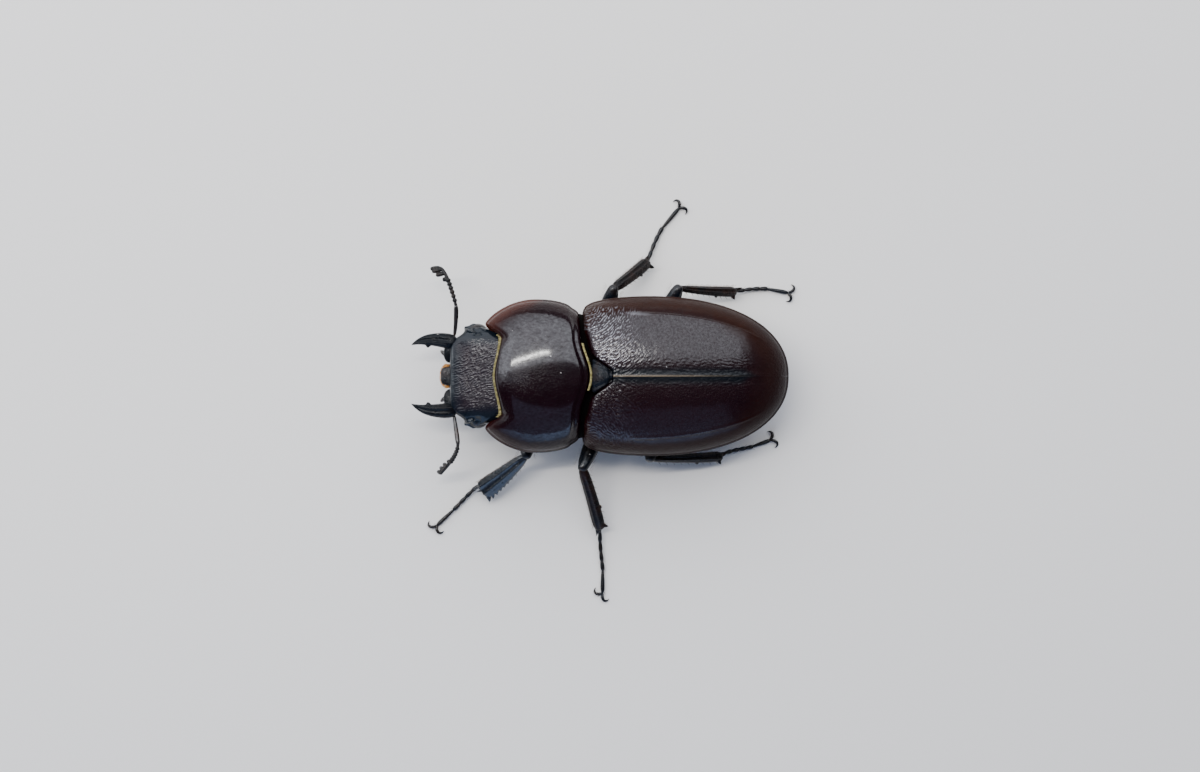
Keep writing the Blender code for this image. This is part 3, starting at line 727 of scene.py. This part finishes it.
def hair_finish(name, root_colour, tip_colour, size):
    """Horny hair, paler in some strands than in others."""
    finish = Finish(name, specular_ior_level=0.4, roughness=0.42)
    strands = finish.clouds(size, detail=2.0, scale=(0.3, 1.0, 1.0))
    finish.set("Base Color", finish.blend(finish.spread(strands, 0.35, 0.65), root_colour, tip_colour))
    return finish.material


golden_hair = hair_finish("golden_hair", (0.26, 0.22, 0.08), (0.56, 0.49, 0.24), 0.12)
# Each row's edge, which way it runs, its middle and half width, and its hairs' length and number.
for name, edge_x, run_x, middle_y, half_width, length, hairs in (
    ("shield_fringe_front", shield_front_x, -1.0, 0.0, 3.9, 0.18, 1700),
    ("shield_fringe_hind", shield_rear_x, 1.0, 0.85, 2.2, 0.13, 850),
):
    coat = new_coat()
    for number in range(hairs):
        y = middle_y + half_width * (2.0 * (number + chance.random()) / hairs - 1.0)
        x = edge_x(y) - run_x * 0.06
        s, side = run_x, y / SHIELD_HALF_WIDTH
        if run_x < 0.0:
            z = head_top(x, y) + 0.05 + 0.22 * chance.random()
        else:
            z = rim_z(x) + 3.84 * (1.0 - 0.45 * side * side) + 0.12 * chance.random()
        rise = -0.25 if run_x < 0.0 else 0.35
        run = (run_x, 0.25 * (chance.random() - 0.5), rise + 0.15 * chance.random())
        spot = (0.5 + 0.45 * side, 0.5 + 0.45 * s + 0.03 * chance.random())
        hair(coat, (x, y, z), run, length + 0.10 * chance.random(), 0.018, spot)
    piece(name, coat, golden_hair, "chitin_brown")

# ------------------------------------------------------------------ upper lip
# A small two-lobed tongue of black chitin between the jaws, let into the front of the head and
# fringed with stiff orange hairs.


def lip_point(s, side, up):
    notch = 0.04 * hump(side, 0.0, 0.3)
    x = HEAD_FRONT_X + 0.25 + 1.15 * s + (notch if s < 0.0 else 0.0)
    return x, 0.98 * side * (1.0 + 0.1 * s), 5.2 + 0.42 * up


def lip_relief(s, side, up, point):
    return 0.04 * hump(abs(side), 0.8, 0.12) - 0.05 * hump(s, -0.45, 0.16) + pits(point, 0.22, 0.03)


lip = form(lip_point, 64, 48, (3.4, 3.0), (3.0, 3.0), lip_relief)
mouth_chitin = black_chitin("mouth_chitin", 0.10, 0.03, (0.003, 0.004, 0.006), coat=0.1, gloss=0.25)
piece("upper_lip", lip, mouth_chitin, "chitin_black", "labrum")

coat = new_coat()
for _ in range(420):
    turn = math.pi * (chance.random() - 0.5)
    ahead, aside = math.cos(turn), math.sin(turn)
    root = (HEAD_FRONT_X - 0.80 * ahead**0.5, 0.95 * aside, 5.02 + 0.30 * chance.random())
    run = (-ahead, 0.8 * aside + 0.4 * (chance.random() - 0.5), -0.3 + 0.3 * chance.random())
    length = 0.14 + 0.10 * chance.random()
    hair(coat, root, run, length, 0.016, (0.5 + turn / 4.0, 0.3 + 0.2 * chance.random()))
orange_hair = hair_finish("orange_hair", (0.42, 0.16, 0.03), (0.80, 0.42, 0.10), 0.12)
piece("lip_hairs", coat, orange_hair, "chitin_brown")

# ------------------------------------------------------------------ mouth brushes
# Two tufts of soft orange hairs under the lip, rooted between the jaws and the mouth feelers, with
# which the beetle laps up sap.

coat = new_coat()
for number in range(700):
    side = RIGHT if number % 2 else LEFT
    out, down = chance.random(), chance.random()
    root = (HEAD_FRONT_X + 0.05, side * (0.25 + 0.85 * out), 4.72 - 0.34 * down)
    run = (-1.0, side * (0.5 * out - 0.35), -0.25 - 0.45 * down)
    spot = (0.5 + side * (0.05 + 0.1 * out), 0.15 + 0.05 * down)
    hair(coat, root, run, 0.45 + 0.30 * chance.random(), 0.018, spot)
piece("mouth_brushes", coat, orange_hair, "chitin_brown")

# ------------------------------------------------------------------ jaws
# Two short curved jaws of solid blue-black chitin, each hinged at the front corner of the head. A
# ridge runs along the top to the point, and the inner edge has a blunt tooth and a broad heel.

JAW_TIP_X = -17.1
JAW_TIP_Y = {RIGHT: 2.9, LEFT: -2.6}
RUN_STEP = 0.02  # how far before and behind a point the way along a curve is measured


def along(pulls, t):
    """The point at t, 0 to 1, of the smooth curve that starts and ends at the outer pulls."""
    points = [Vector(point) for point in pulls]
    while len(points) > 1:
        points = [a.lerp(b, t) for a, b in zip(points, points[1:])]
    return points[0]


def axes(pulls, t, lean):
    """The ways along a limb, across it and out of its broad face, at t."""
    run = (along(pulls, min(t + RUN_STEP, 1.0)) - along(pulls, max(t - RUN_STEP, 0.0))).normalized()
    wide = run.cross(Vector(lean)).normalized()
    return run, wide, wide.cross(run)


def limb(
    pulls, half_width, half_depth, around, steps, ends=ROUND, section=ROUND, lean=UP, relief=None
):
    """A rod along a curve, whose half sizes across are half_width(t) and half_depth(t)."""

    def place(s, side, up):
        t = (s + 1.0) / 2.0
        _, wide, thick = axes(pulls, t, lean)
        return along(pulls, t) + wide * side * half_width(t) + thick * up * half_depth(t)

    return form(place, around, steps, ends, section, relief, cuts=1)


def tapering(root, tip, power=1.0):
    """A half size across that shrinks from root and tip together to tip alone."""
    return lambda t: root * (1.0 - t) ** power + tip


def fused(voxel, softness, *shapes):
    """Grows forms that run into each other into one skin, and softens it."""
    whole = bpy.data.meshes.new("whole")
    bundle = bmesh.new()
    for shape in shapes:
        shape.to_mesh(whole)
        shape.free()
        bundle.from_mesh(whole)
    bundle.to_mesh(whole)
    bundle.free()
    holder = put_in_scene("holder", whole)
    remesh = holder.modifiers.new("skin", "REMESH")
    remesh.mode = "VOXEL"
    remesh.voxel_size = voxel
    skin = bpy.data.meshes.new_from_object(holder.evaluated_get(bpy.context.evaluated_depsgraph_get()))
    bpy.data.objects.remove(holder)
    grown = bmesh.new()
    grown.from_mesh(skin)
    for _ in range(softness):
        bmesh.ops.smooth_vert(
            grown, verts=grown.verts, factor=0.5, use_axis_x=True, use_axis_y=True, use_axis_z=True
        )
    return grown


def roughened(shape, size, depth):
    """Lowers small pits all over a finished skin."""
    shape.normal_update()
    lifts = [pits(vert.co, size, depth) for vert in shape.verts]
    for vert, lift in zip(shape.verts, lifts):
        vert.co += vert.normal * lift
    return shape


def jaw_relief(s, side, up, point):
    """The ridge along the top with a hollow inside it, and a low outer edge."""
    ridge = 0.16 * hump(side, 0.30, 0.16) - 0.10 * hump(side, -0.12, 0.22) + 0.05 * hump(side, 0.80, 0.10)
    return ridge * max(up, 0.0) * eased(-1.0, -0.6, s) * (1.0 - eased(0.5, 0.95, s))


jaw_chitin = black_chitin(
    "jaw_chitin", 0.14, 0.02, (0.0015, 0.0028, 0.0048), (0.003, 0.003, 0.004), coat=0.0, gloss=0.16
)
for side, hand in SIDE_NAMES.items():
    hinge = Vector((HEAD_FRONT_X + 0.6, side * 3.2, 5.2))
    tip = Vector((JAW_TIP_X, JAW_TIP_Y[side], 5.4))
    bend = hinge.lerp(tip, 0.4) + Vector((0, side * 0.45, 0.1))
    bow = [hinge, bend, tip + Vector((1.2, side * 0.75, 0.1)), tip]

    def turned_ridge(s, across, up, point, side=side):
        return jaw_relief(s, -side * across, up, point)

    sizes = tapering(0.80, 0.05, 0.6), tapering(0.70, 0.08, 0.8)
    blade = limb(bow, *sizes, 48, 72, (4.0, 2.0), relief=turned_ridge)
    tooth_root = along(bow, 0.55)
    tooth = limb(
        [tooth_root, tooth_root + Vector((-0.1, -side * 0.78, 0.05))],
        lambda t: 0.46 - 0.26 * t, lambda t: 0.32 - 0.14 * t, 24, 16,
    )
    heel = limb(
        [hinge + Vector((-0.2, 0.0, -0.1)), hinge + Vector((-0.72, -side * 1.95, -0.15))],
        lambda t: 0.88 - 0.22 * t, lambda t: 0.58 - 0.2 * t, 24, 24, (2.0, 2.2),
    )
    jaw = roughened(fused(0.045, 3, blade, tooth, heel), 0.24, 0.018)
    piece("jaw_" + hand, jaw, jaw_chitin, "chitin_black", "mandible_" + hand)

# ------------------------------------------------------------------ mouth feelers
# A pair of brown, three-jointed feelers that hang from under the mouth. Each joint is a smooth club
# of thin chitin, narrow where it meets the last.


def jointed(radius, joints):
    """A radius along a limb that narrows at the given joints."""
    return lambda t: radius * (1.0 - 0.42 * max(hump(t, joint, 0.045) for joint in joints))


feeler_chitin = black_chitin("feeler_chitin", 0.08, 0.012, (0.008, 0.006, 0.006), (0.026, 0.012, 0.007))
for side, hand in SIDE_NAMES.items():
    root = Vector((HEAD_FRONT_X + 0.9, side * 1.55, 3.95))
    route = [root, root + Vector((-1.2, side * 0.25, -0.2)), root + Vector((-1.9, side * 0.9, -1.0))]
    girth = jointed(0.25, (0.36, 0.68))
    palp = limb(route, girth, girth, 24, 64, (3.0, 2.4))
    piece("mouth_feeler_" + hand, palp, feeler_chitin, "chitin_brown", "palp_" + hand)

# ------------------------------------------------------------------ feelers
# The elbowed feelers: a long clubbed shaft in a socket by the jaw, then six small beads and a comb
# of four flat leaves, dull with the fine down that smells the air.

# Each side's socket, the route of its lash and the way its leaves point.
FEELERS = {
    "right": (
        (HEAD_FRONT_X + 0.35, 3.4, 4.95),
        ((-12.75, 6.8, 5.7), (-13.2, 8.3, 5.8), (-13.7, 10.1, 5.4), (-14.4, 10.4, 5.0)),
        (-0.97, -0.2, 0.0),
    ),
    "left": (
        (HEAD_FRONT_X + 0.3, -3.3, 4.95),
        ((-12.55, -6.6, 5.5), (-12.8, -7.9, 5.2), (-13.6, -8.4, 4.5), (-14.3, -9.4, 3.8)),
        (-0.35, 0.15, -0.92),
    ),
}
comb_chitin = black_chitin(
    "comb_chitin", 0.05, 0.02, (0.006, 0.005, 0.005), (0.016, 0.011, 0.009), coat=0.0, gloss=0.25
)
for hand, (socket, lash, leaf_run) in FEELERS.items():
    elbow = Vector(lash[0])
    turn = Vector((socket[0] + 0.3, elbow.y * 0.55 + socket[1] * 0.45, socket[2] + 0.2))
    swell = lambda t: 0.17 + 0.11 * t**1.6 - 0.05 * hump(t, 0.10, 0.06)
    shaft = limb([socket, turn, elbow], swell, swell, 24, 64, (3.0, 3.0))
    node = "antenna_" + hand
    piece("feeler_shaft_" + hand, shaft, feeler_chitin, "chitin_black", node + "_scape")
    knuckle = along([socket, turn, elbow], 0.93)
    girth = lambda t: 0.15 + 0.04 * t
    thin = lambda t: 0.16
    beads = [
        limb(lash, girth, girth, 16, 48, (3.0, 3.0)),
        limb([knuckle, along(lash, 0.06)], thin, thin, 16, 16, (3.0, 3.0)),
    ]
    for number in range(6):
        t = 0.035 + 0.085 * number
        swell = lambda t: (0.20 + 0.07 * t) * (1.0 + 0.03 * number)
        beads.append(limb([along(lash, t), along(lash, t + 0.095)], swell, swell, 20, 12))
    for t, length in ((0.55, 0.50), (0.70, 0.90), (0.84, 1.02), (0.97, 0.92)):
        root = along(lash, t)
        leaf = [root - Vector(leaf_run) * 0.1, root + Vector(leaf_run) * length]
        beads.append(limb(leaf, lambda t: 0.19 + 0.05 * t, lambda t: 0.22 + 0.07 * t, 24, 20, (2.0, 3.0)))
    comb = fused(0.032, 1, *beads)
    piece("feeler_comb_" + hand, comb, comb_chitin, "chitin_black", node + "_lash")

# ------------------------------------------------------------------ waist membrane
# The dark, soft skin between the hard plates, which closes the narrow gaps where the head, the
# thorax shield and the wing cases would otherwise let light through.


def waist_point(s, side, up):
    return -0.35 + 1.5 * s, 5.9 * side, rim_z(0.0) - 0.2 + (3.1 if up > 0 else 2.6) * up


def waist_folds(s, side, up, point):
    return 0.05 * math.cos(14.0 * s)


soft_skin = Finish("soft_skin", specular_ior_level=0.05, roughness=0.9)
dark, light = (0.0008, 0.0006, 0.0006), (0.003, 0.002, 0.0015)
soft_skin.set("Base Color", soft_skin.blend(soft_skin.clouds(0.4), dark, light))
waist = form(waist_point, 96, 24, (6.0, 6.0), (2.0, 2.3), waist_folds)
piece("waist_membrane", waist, soft_skin.material, "chitin_black")

# ------------------------------------------------------------------ legs
# Six legs of black-brown chitin tube: a hip let into the breast, a swollen thigh, a shin that is
# keeled, toothed and spurred at its end, and a foot of five small joints with two claws.

ANKLE_Z = 1.15
FOOT_Z = 0.2
FOOT_JOINTS = (0.0, 0.17, 0.32, 0.47, 0.62, 1.0)
# Hip, knee, ankle, the foot's route and the way the toothed edge faces.
LEGS = {
    "front_left": ((-5.3, -2.2, 2.9), (-6.15, -7.65, 3.9), (-10.5, -11.15),
                   ((-10.75, -10.5), (-12.0, -11.5), (-13.3, -13.2), (-14.9, -14.5)), (1.0, -1.0, 0.0)),
    "front_right": ((-5.3, 2.2, 2.9), (-4.7, 6.2, 3.7), (-8.5, 4.7),
                    ((-8.9, 4.9), (-9.6, 4.3), (-10.9, 3.7), (-12.4, 2.7)), (-0.5, 1.0, 0.0)),
    "middle_left": ((1.6, -2.7, 2.6), (-0.75, -8.8, 4.4), (0.95, -14.8),
                    ((0.95, -14.9), (0.8, -17.0), (1.5, -19.0), (1.2, -21.05)), (1.0, -0.1, 0.0)),
    "middle_right": ((1.6, 2.7, 2.6), (2.3, 8.4, 4.5), (5.6, 11.1),
                     ((5.6, 11.2), (6.2, 12.9), (6.7, 14.6), (8.6, 16.3)), (0.8, -0.6, 0.0)),
    "hind_left": ((7.0, -2.8, 2.6), (5.7, -7.9, 4.1), (12.8, -7.75),
                  ((12.9, -7.5), (14.4, -6.9), (15.9, -7.1), (17.5, -6.2)), (0.0, -1.0, 0.0)),
    "hind_right": ((7.0, 2.8, 2.6), (8.5, 8.4, 4.3), (14.1, 8.15),
                   ((14.1, 8.2), (15.6, 8.5), (17.3, 8.75), (19.2, 8.1)), (0.0, -1.0, 0.0)),
}
# The shin's teeth, the longest of them, its half widths at knee and ankle, and how it flares.
SHIN_BUILDS = {
    "front": (7, 0.68, (0.42, 1.14), 0.75),
    "middle": (2, 0.50, (0.54, 0.66), 1.3),
    "hind": (2, 0.45, (0.34, 0.57), 1.0),
}
CLAW_TURNS = {"middle_left": -35.0, "front_left": 15.0}  # in degrees, out of line with the foot
THIGH_BRISTLES, SHIN_BRISTLES = 26, 34

leg_chitin = black_chitin(
    "leg_chitin", 0.16, 0.014, (0.0025, 0.004, 0.007), (0.006, 0.004, 0.0045), coat=0.22, gloss=0.22
)
digging_chitin = black_chitin(
    "digging_chitin", 0.16, 0.012, (0.003, 0.005, 0.0085), (0.005, 0.005, 0.007), coat=0.75, gloss=0.25
)
shin_chitin = black_chitin(
    "shin_chitin", 0.16, 0.03, (0.003, 0.002, 0.0024), (0.011, 0.0042, 0.0028), coat=0.03, gloss=0.2
)
foot_chitin = black_chitin(
    "foot_chitin", 0.08, 0.012, (0.003, 0.0035, 0.005), (0.008, 0.005, 0.004), coat=0.1, gloss=0.25
)
bristle_roots = []


def bristle(leg, t, band, root, run, length, thick):
    """Notes a stiff hair at t along a part of a leg, in a band of the unwrapped skin, for later."""
    spot = (leg / len(LEGS) + 0.1 * t, band)
    bristle_roots.append((spot, root, run, length, thick))


def make_thigh(number, hip, knee, side):
    middle = hip.lerp(knee, 0.5) + Vector((-0.8 if side > 0.0 else 0.0, 0.3 * side, -0.25))
    route = [hip + Vector((0, side * 0.6, -0.15)), middle, knee + (knee - middle).normalized() * 0.3]

    def swollen(girth, swell, knob):
        """A half size across that swells in the middle and ends in a knob at the knee."""
        return lambda t: girth + swell * math.sin(math.pi * min(t * 1.1, 1.0)) + knob * hump(t, 0.92, 0.12)

    def groove(s, across, up, point):
        return -0.06 * hump(across, 0.75, 0.14) + pits(point, 0.30, 0.020)

    sizes = swollen(0.62, 0.23, 0.06), swollen(0.50, 0.13, 0.08)
    thigh = limb(route, *sizes, 48, 64, (3.0, 4.0), relief=groove)
    for k in range(THIGH_BRISTLES):
        t = 0.30 + 0.66 * k / THIGH_BRISTLES
        run, wide, _ = axes(route, t, UP)
        for face in (-1.0, 1.0):
            root = along(route, t) + wide * face * 0.72
            length = 0.30 + 0.2 * chance.random()
            bristle(number, t, 0.2 + 0.05 * face, root, wide * face + run * 0.9, length, 0.016)
    return thigh


def make_shin(number, knee, ankle, outer, teeth, tooth_length, half_widths, flare):
    """The shin, flattened and wider towards the foot, with teeth along its outer edge."""
    run = (ankle - knee).normalized()
    edge = (outer - run * outer.dot(run)).normalized()
    lean = edge.cross(run)
    narrow, broad = half_widths
    bow = [knee, knee.lerp(ankle, 0.5) + edge * 0.15, ankle]
    half_width = lambda t: narrow + (broad - narrow) * t**flare

    def keels(s, across, up, point):
        """Two ribs along each face with a groove between them."""
        ribs = 0.10 * hump(across, 0.30, 0.10) + 0.10 * hump(across, -0.42, 0.10)
        return (ribs - 0.05 * hump(across, -0.06, 0.20)) * eased(-0.95, -0.6, s) * abs(up)

    forms = [limb(bow, half_width, lambda t: 0.40 - 0.06 * t, 48, 72, (5.0, 5.0), lean=lean, relief=keels)]
    stout = 0.34 if teeth > 2 else 0.26
    for k in range(teeth):
        t = 0.94 - 0.62 * k / teeth
        size = half_width(t) * 0.35 + tooth_length * (1.0 - 0.45 * k / teeth)
        root = along(bow, t) + edge * half_width(t) * 0.25
        bend = root + edge * size * 0.75 + run * size * 0.18
        spike = [root, bend, root + edge * size + run * size * 0.50]
        forms.append(limb(spike, tapering(stout, 0.05), tapering(0.22, 0.05), 20, 20, lean=lean))
    for tuck, reach in ((0.45, 1.25), (0.05, 0.95)):
        spur_root = ankle - edge * broad * tuck - run * 0.45
        spur = [spur_root, spur_root + run * reach * 0.6, spur_root + run * reach - edge * 0.28]
        forms.append(limb(spur, tapering(0.17, 0.045), tapering(0.17, 0.045), 16, 20))
    for k in range(SHIN_BRISTLES):
        t = 0.12 + 0.84 * k / SHIN_BRISTLES
        _, _, thick = axes(bow, t, lean)
        for face in (-1.0, 1.0):
            root = along(bow, t) - edge * half_width(t) * 0.82 + thick * face * 0.12
            way = run * 1.2 - edge + thick * face * 0.4
            bristle(number, t, 0.5 + 0.05 * face, root, way, 0.26 + 0.22 * chance.random(), 0.017)
        if k % 4 == 0:
            root = along(bow, t) + edge * half_width(t) * 0.86
            bristle(number, t, 0.62, root, edge + run * 0.8, 0.30 + 0.1 * chance.random(), 0.035)
    return roughened(fused(0.048, 3, *forms), 0.26, 0.020)


def make_foot(number, route, ankle, knee, claw_turn):
    """The foot's five joints, the last one long, with its two claws, cut level at the ground."""
    rooted = [ankle.lerp(knee, 0.10), ankle.lerp(route[0], 0.5), along(route, 0.04)]
    girth = lambda t: 0.20 - 0.03 * t
    forms = [limb(rooted, girth, girth, 20, 24, (2.6, 2.6))]
    for start, stop in zip(FOOT_JOINTS, FOOT_JOINTS[1:]):
        reach = [along(route, max(start - 0.02, 0.0)), along(route, min(stop + 0.02, 1.0))]
        swell = 1.8 if stop == 1.0 else 1.4
        girth = lambda t: 0.16 + 0.11 * t**swell
        forms.append(limb(reach, girth, lambda t: girth(t) + 0.01, 24, 32, (2.6, 2.6)))
        run, wide, _ = axes(route, (start + stop) / 2.0, UP)
        for face in (-1.0, -0.35, 0.35, 1.0):
            root = reach[1] + wide * face * 0.16 - run * 0.08 + Vector((0, 0, 0.03))
            bristle(number, stop, 0.8 + 0.03 * face, root, run + wide * face * 0.8, 0.32, 0.018)
    toe = along(route, 1.0)
    run = toe - along(route, 0.9)
    run = Matrix.Rotation(math.radians(claw_turn), 3, "Z") @ Vector((run.x, run.y, 0.0)).normalized()
    for side in (RIGHT, LEFT):
        across = Vector((-run.y, run.x, 0.0)) * side
        hook = [
            toe - run * 0.1,
            toe + run * 0.68 + across * 0.26 + Vector((0, 0, 0.12)),
            toe + run * 0.55 + across * 0.92,
            toe - run * 0.05 + across * 0.84 - Vector((0, 0, 0.16)),
        ]
        forms.append(limb(hook, tapering(0.15, 0.06), tapering(0.15, 0.06), 20, 32))
        root = toe + run * 0.15 + across * 0.05
        bristle(number, 1.1, 0.9, root, run + across * 0.25, 0.5, 0.025)
    foot = fused(0.036, 1, *forms)
    keep_side(foot, (0, 0, 0), UP)
    return foot


for number, (where, (hip, knee, ankle, foot_route, outer)) in enumerate(LEGS.items()):
    node = "leg_" + where
    hip, knee, ankle = Vector(hip), Vector(knee), Vector((*ankle, ANKLE_Z))
    side = 1.0 if hip.y > 0.0 else -1.0

    def hip_point(s, across, up, hip=hip, side=side):
        return hip.x + 1.15 * across, hip.y + 1.55 * s + side * 0.1, hip.z + 0.95 * up

    joint = form(hip_point, 48, 48, relief=lambda s, across, up, point: pits(point, 0.32, 0.035), cuts=1)
    piece("hip_" + where, joint, leg_chitin, "chitin_black", node + "_coxa")
    thigh = make_thigh(number, hip, knee, side)
    piece("thigh_" + where, thigh, leg_chitin, "chitin_black", node + "_femur")
    shin = make_shin(number, knee, ankle, Vector(outer), *SHIN_BUILDS[where.split("_")[0]])
    shin_finish = digging_chitin if where.startswith("front") else shin_chitin
    piece("shin_" + where, shin, shin_finish, "chitin_black", node + "_tibia")
    heights = (0.75 * ANKLE_Z, FOOT_Z, FOOT_Z, FOOT_Z)
    route = [Vector((*point, z)) for point, z in zip(foot_route, heights)]
    foot = make_foot(number, route, ankle, knee, CLAW_TURNS.get(where, 0.0))
    piece("foot_" + where, foot, foot_chitin, "chitin_black", node + "_tarsus")

# ------------------------------------------------------------------ bristles of the legs
# Stiff brown hairs that stand in rows along the thighs and shins and in tufts at the joints of the
# feet, where they grip and feel the ground.

coat = new_coat()
for spot, root, run, length, thick in bristle_roots:
    tip = root + run.normalized() * length
    if min(root.z, tip.z) > thick:
        hair(coat, root, run, length, thick, spot)
brown_hair = hair_finish("brown_hair", (0.07, 0.035, 0.014), (0.20, 0.12, 0.045), 0.3)
piece("leg_bristles", coat, brown_hair, "chitin_brown")

# ------------------------------------------------------------------ floor, lights and camera
# A plain pale floor under a dim sky. A broad soft box stands over the beetle's right side, a weak
# bluish fill and a low strip on its left, and a weak box and a strip in front of it; a narrow lamp
# draws the bright streak on the shield. The camera looks straight down on the back.

VIEW_CENTRE = WAIST + Vector((0.95, -0.95, 6.0))
VIEW_WIDTH = 114.0
VIEW_DISTANCE = 270.0

floor_mesh = bpy.data.meshes.new("floor")
shape = bmesh.new()
bmesh.ops.create_grid(shape, x_segments=1, y_segments=1, size=2.0)
shape.to_mesh(floor_mesh)
shape.free()
floor = put_in_scene("floor", floor_mesh)
floor_paint = bpy.data.materials.new("pale_floor")
floor_paint.use_nodes = True
paint = floor_paint.node_tree.nodes["Principled BSDF"].inputs
paint["Base Color"].default_value = (0.81, 0.78, 0.74, 1.0)
paint["Roughness"].default_value = 0.9
floor_mesh.materials.append(floor_paint)

sky = bpy.data.worlds.new("dim_sky")
sky.use_nodes = True
glow = sky.node_tree.nodes["Background"].inputs
glow["Color"].default_value = (0.62, 0.72, 0.90, 1.0)
glow["Strength"].default_value = 0.065
bpy.context.scene.world = sky


def soft_box(name, place, width, depth, watts, colour, slant=0.0):
    """A rectangular lamp at place, in millimetres, that faces the beetle, its width along the body."""
    lamp = bpy.data.lights.new(name, "AREA")
    lamp.shape = "RECTANGLE"
    lamp.size, lamp.size_y = width * MM, depth * MM
    lamp.energy = watts
    lamp.color = colour
    made = put_in_scene(name, lamp)
    made.location = Vector(place) * MM
    outward = Vector(place).normalized()
    length = Vector((1.0, slant, 0.0))
    length = (length - outward * length.dot(outward)).normalized()
    made.rotation_euler = Matrix((length, outward.cross(length), outward)).transposed().to_euler()


soft_box("key_box", (-50.0, 166.0, 181.0), 730.0, 350.0, 2.62, (0.88, 0.92, 1.0), slant=-0.08)
soft_box("fill_box", (-20.0, -205.0, 150.0), 420.0, 310.0, 0.17, (0.56, 0.63, 1.0))
soft_box("rim_strip", (-20.0, -225.0, 52.0), 420.0, 96.0, 0.23, (0.42, 0.62, 1.0))
soft_box("front_box", (-250.0, 70.0, 125.0), 190.0, 190.0, 0.11, (0.85, 0.92, 1.0))
soft_box("top_strip", (-170.0, 15.0, 250.0), 200.0, 56.0, 0.012, (0.70, 0.86, 1.0))
soft_box("streak_lamp", (-76.0, 62.0, 250.0), 190.0, 11.0, 0.36, (1.0, 0.98, 0.95), slant=0.14)

lens = bpy.data.cameras.new("camera")
lens.sensor_width = 36.0
lens.lens = lens.sensor_width * VIEW_DISTANCE / VIEW_WIDTH
camera = put_in_scene("camera", lens)
camera.location = (VIEW_CENTRE + Vector((0.0, 0.0, VIEW_DISTANCE))) * MM
bpy.context.scene.camera = camera
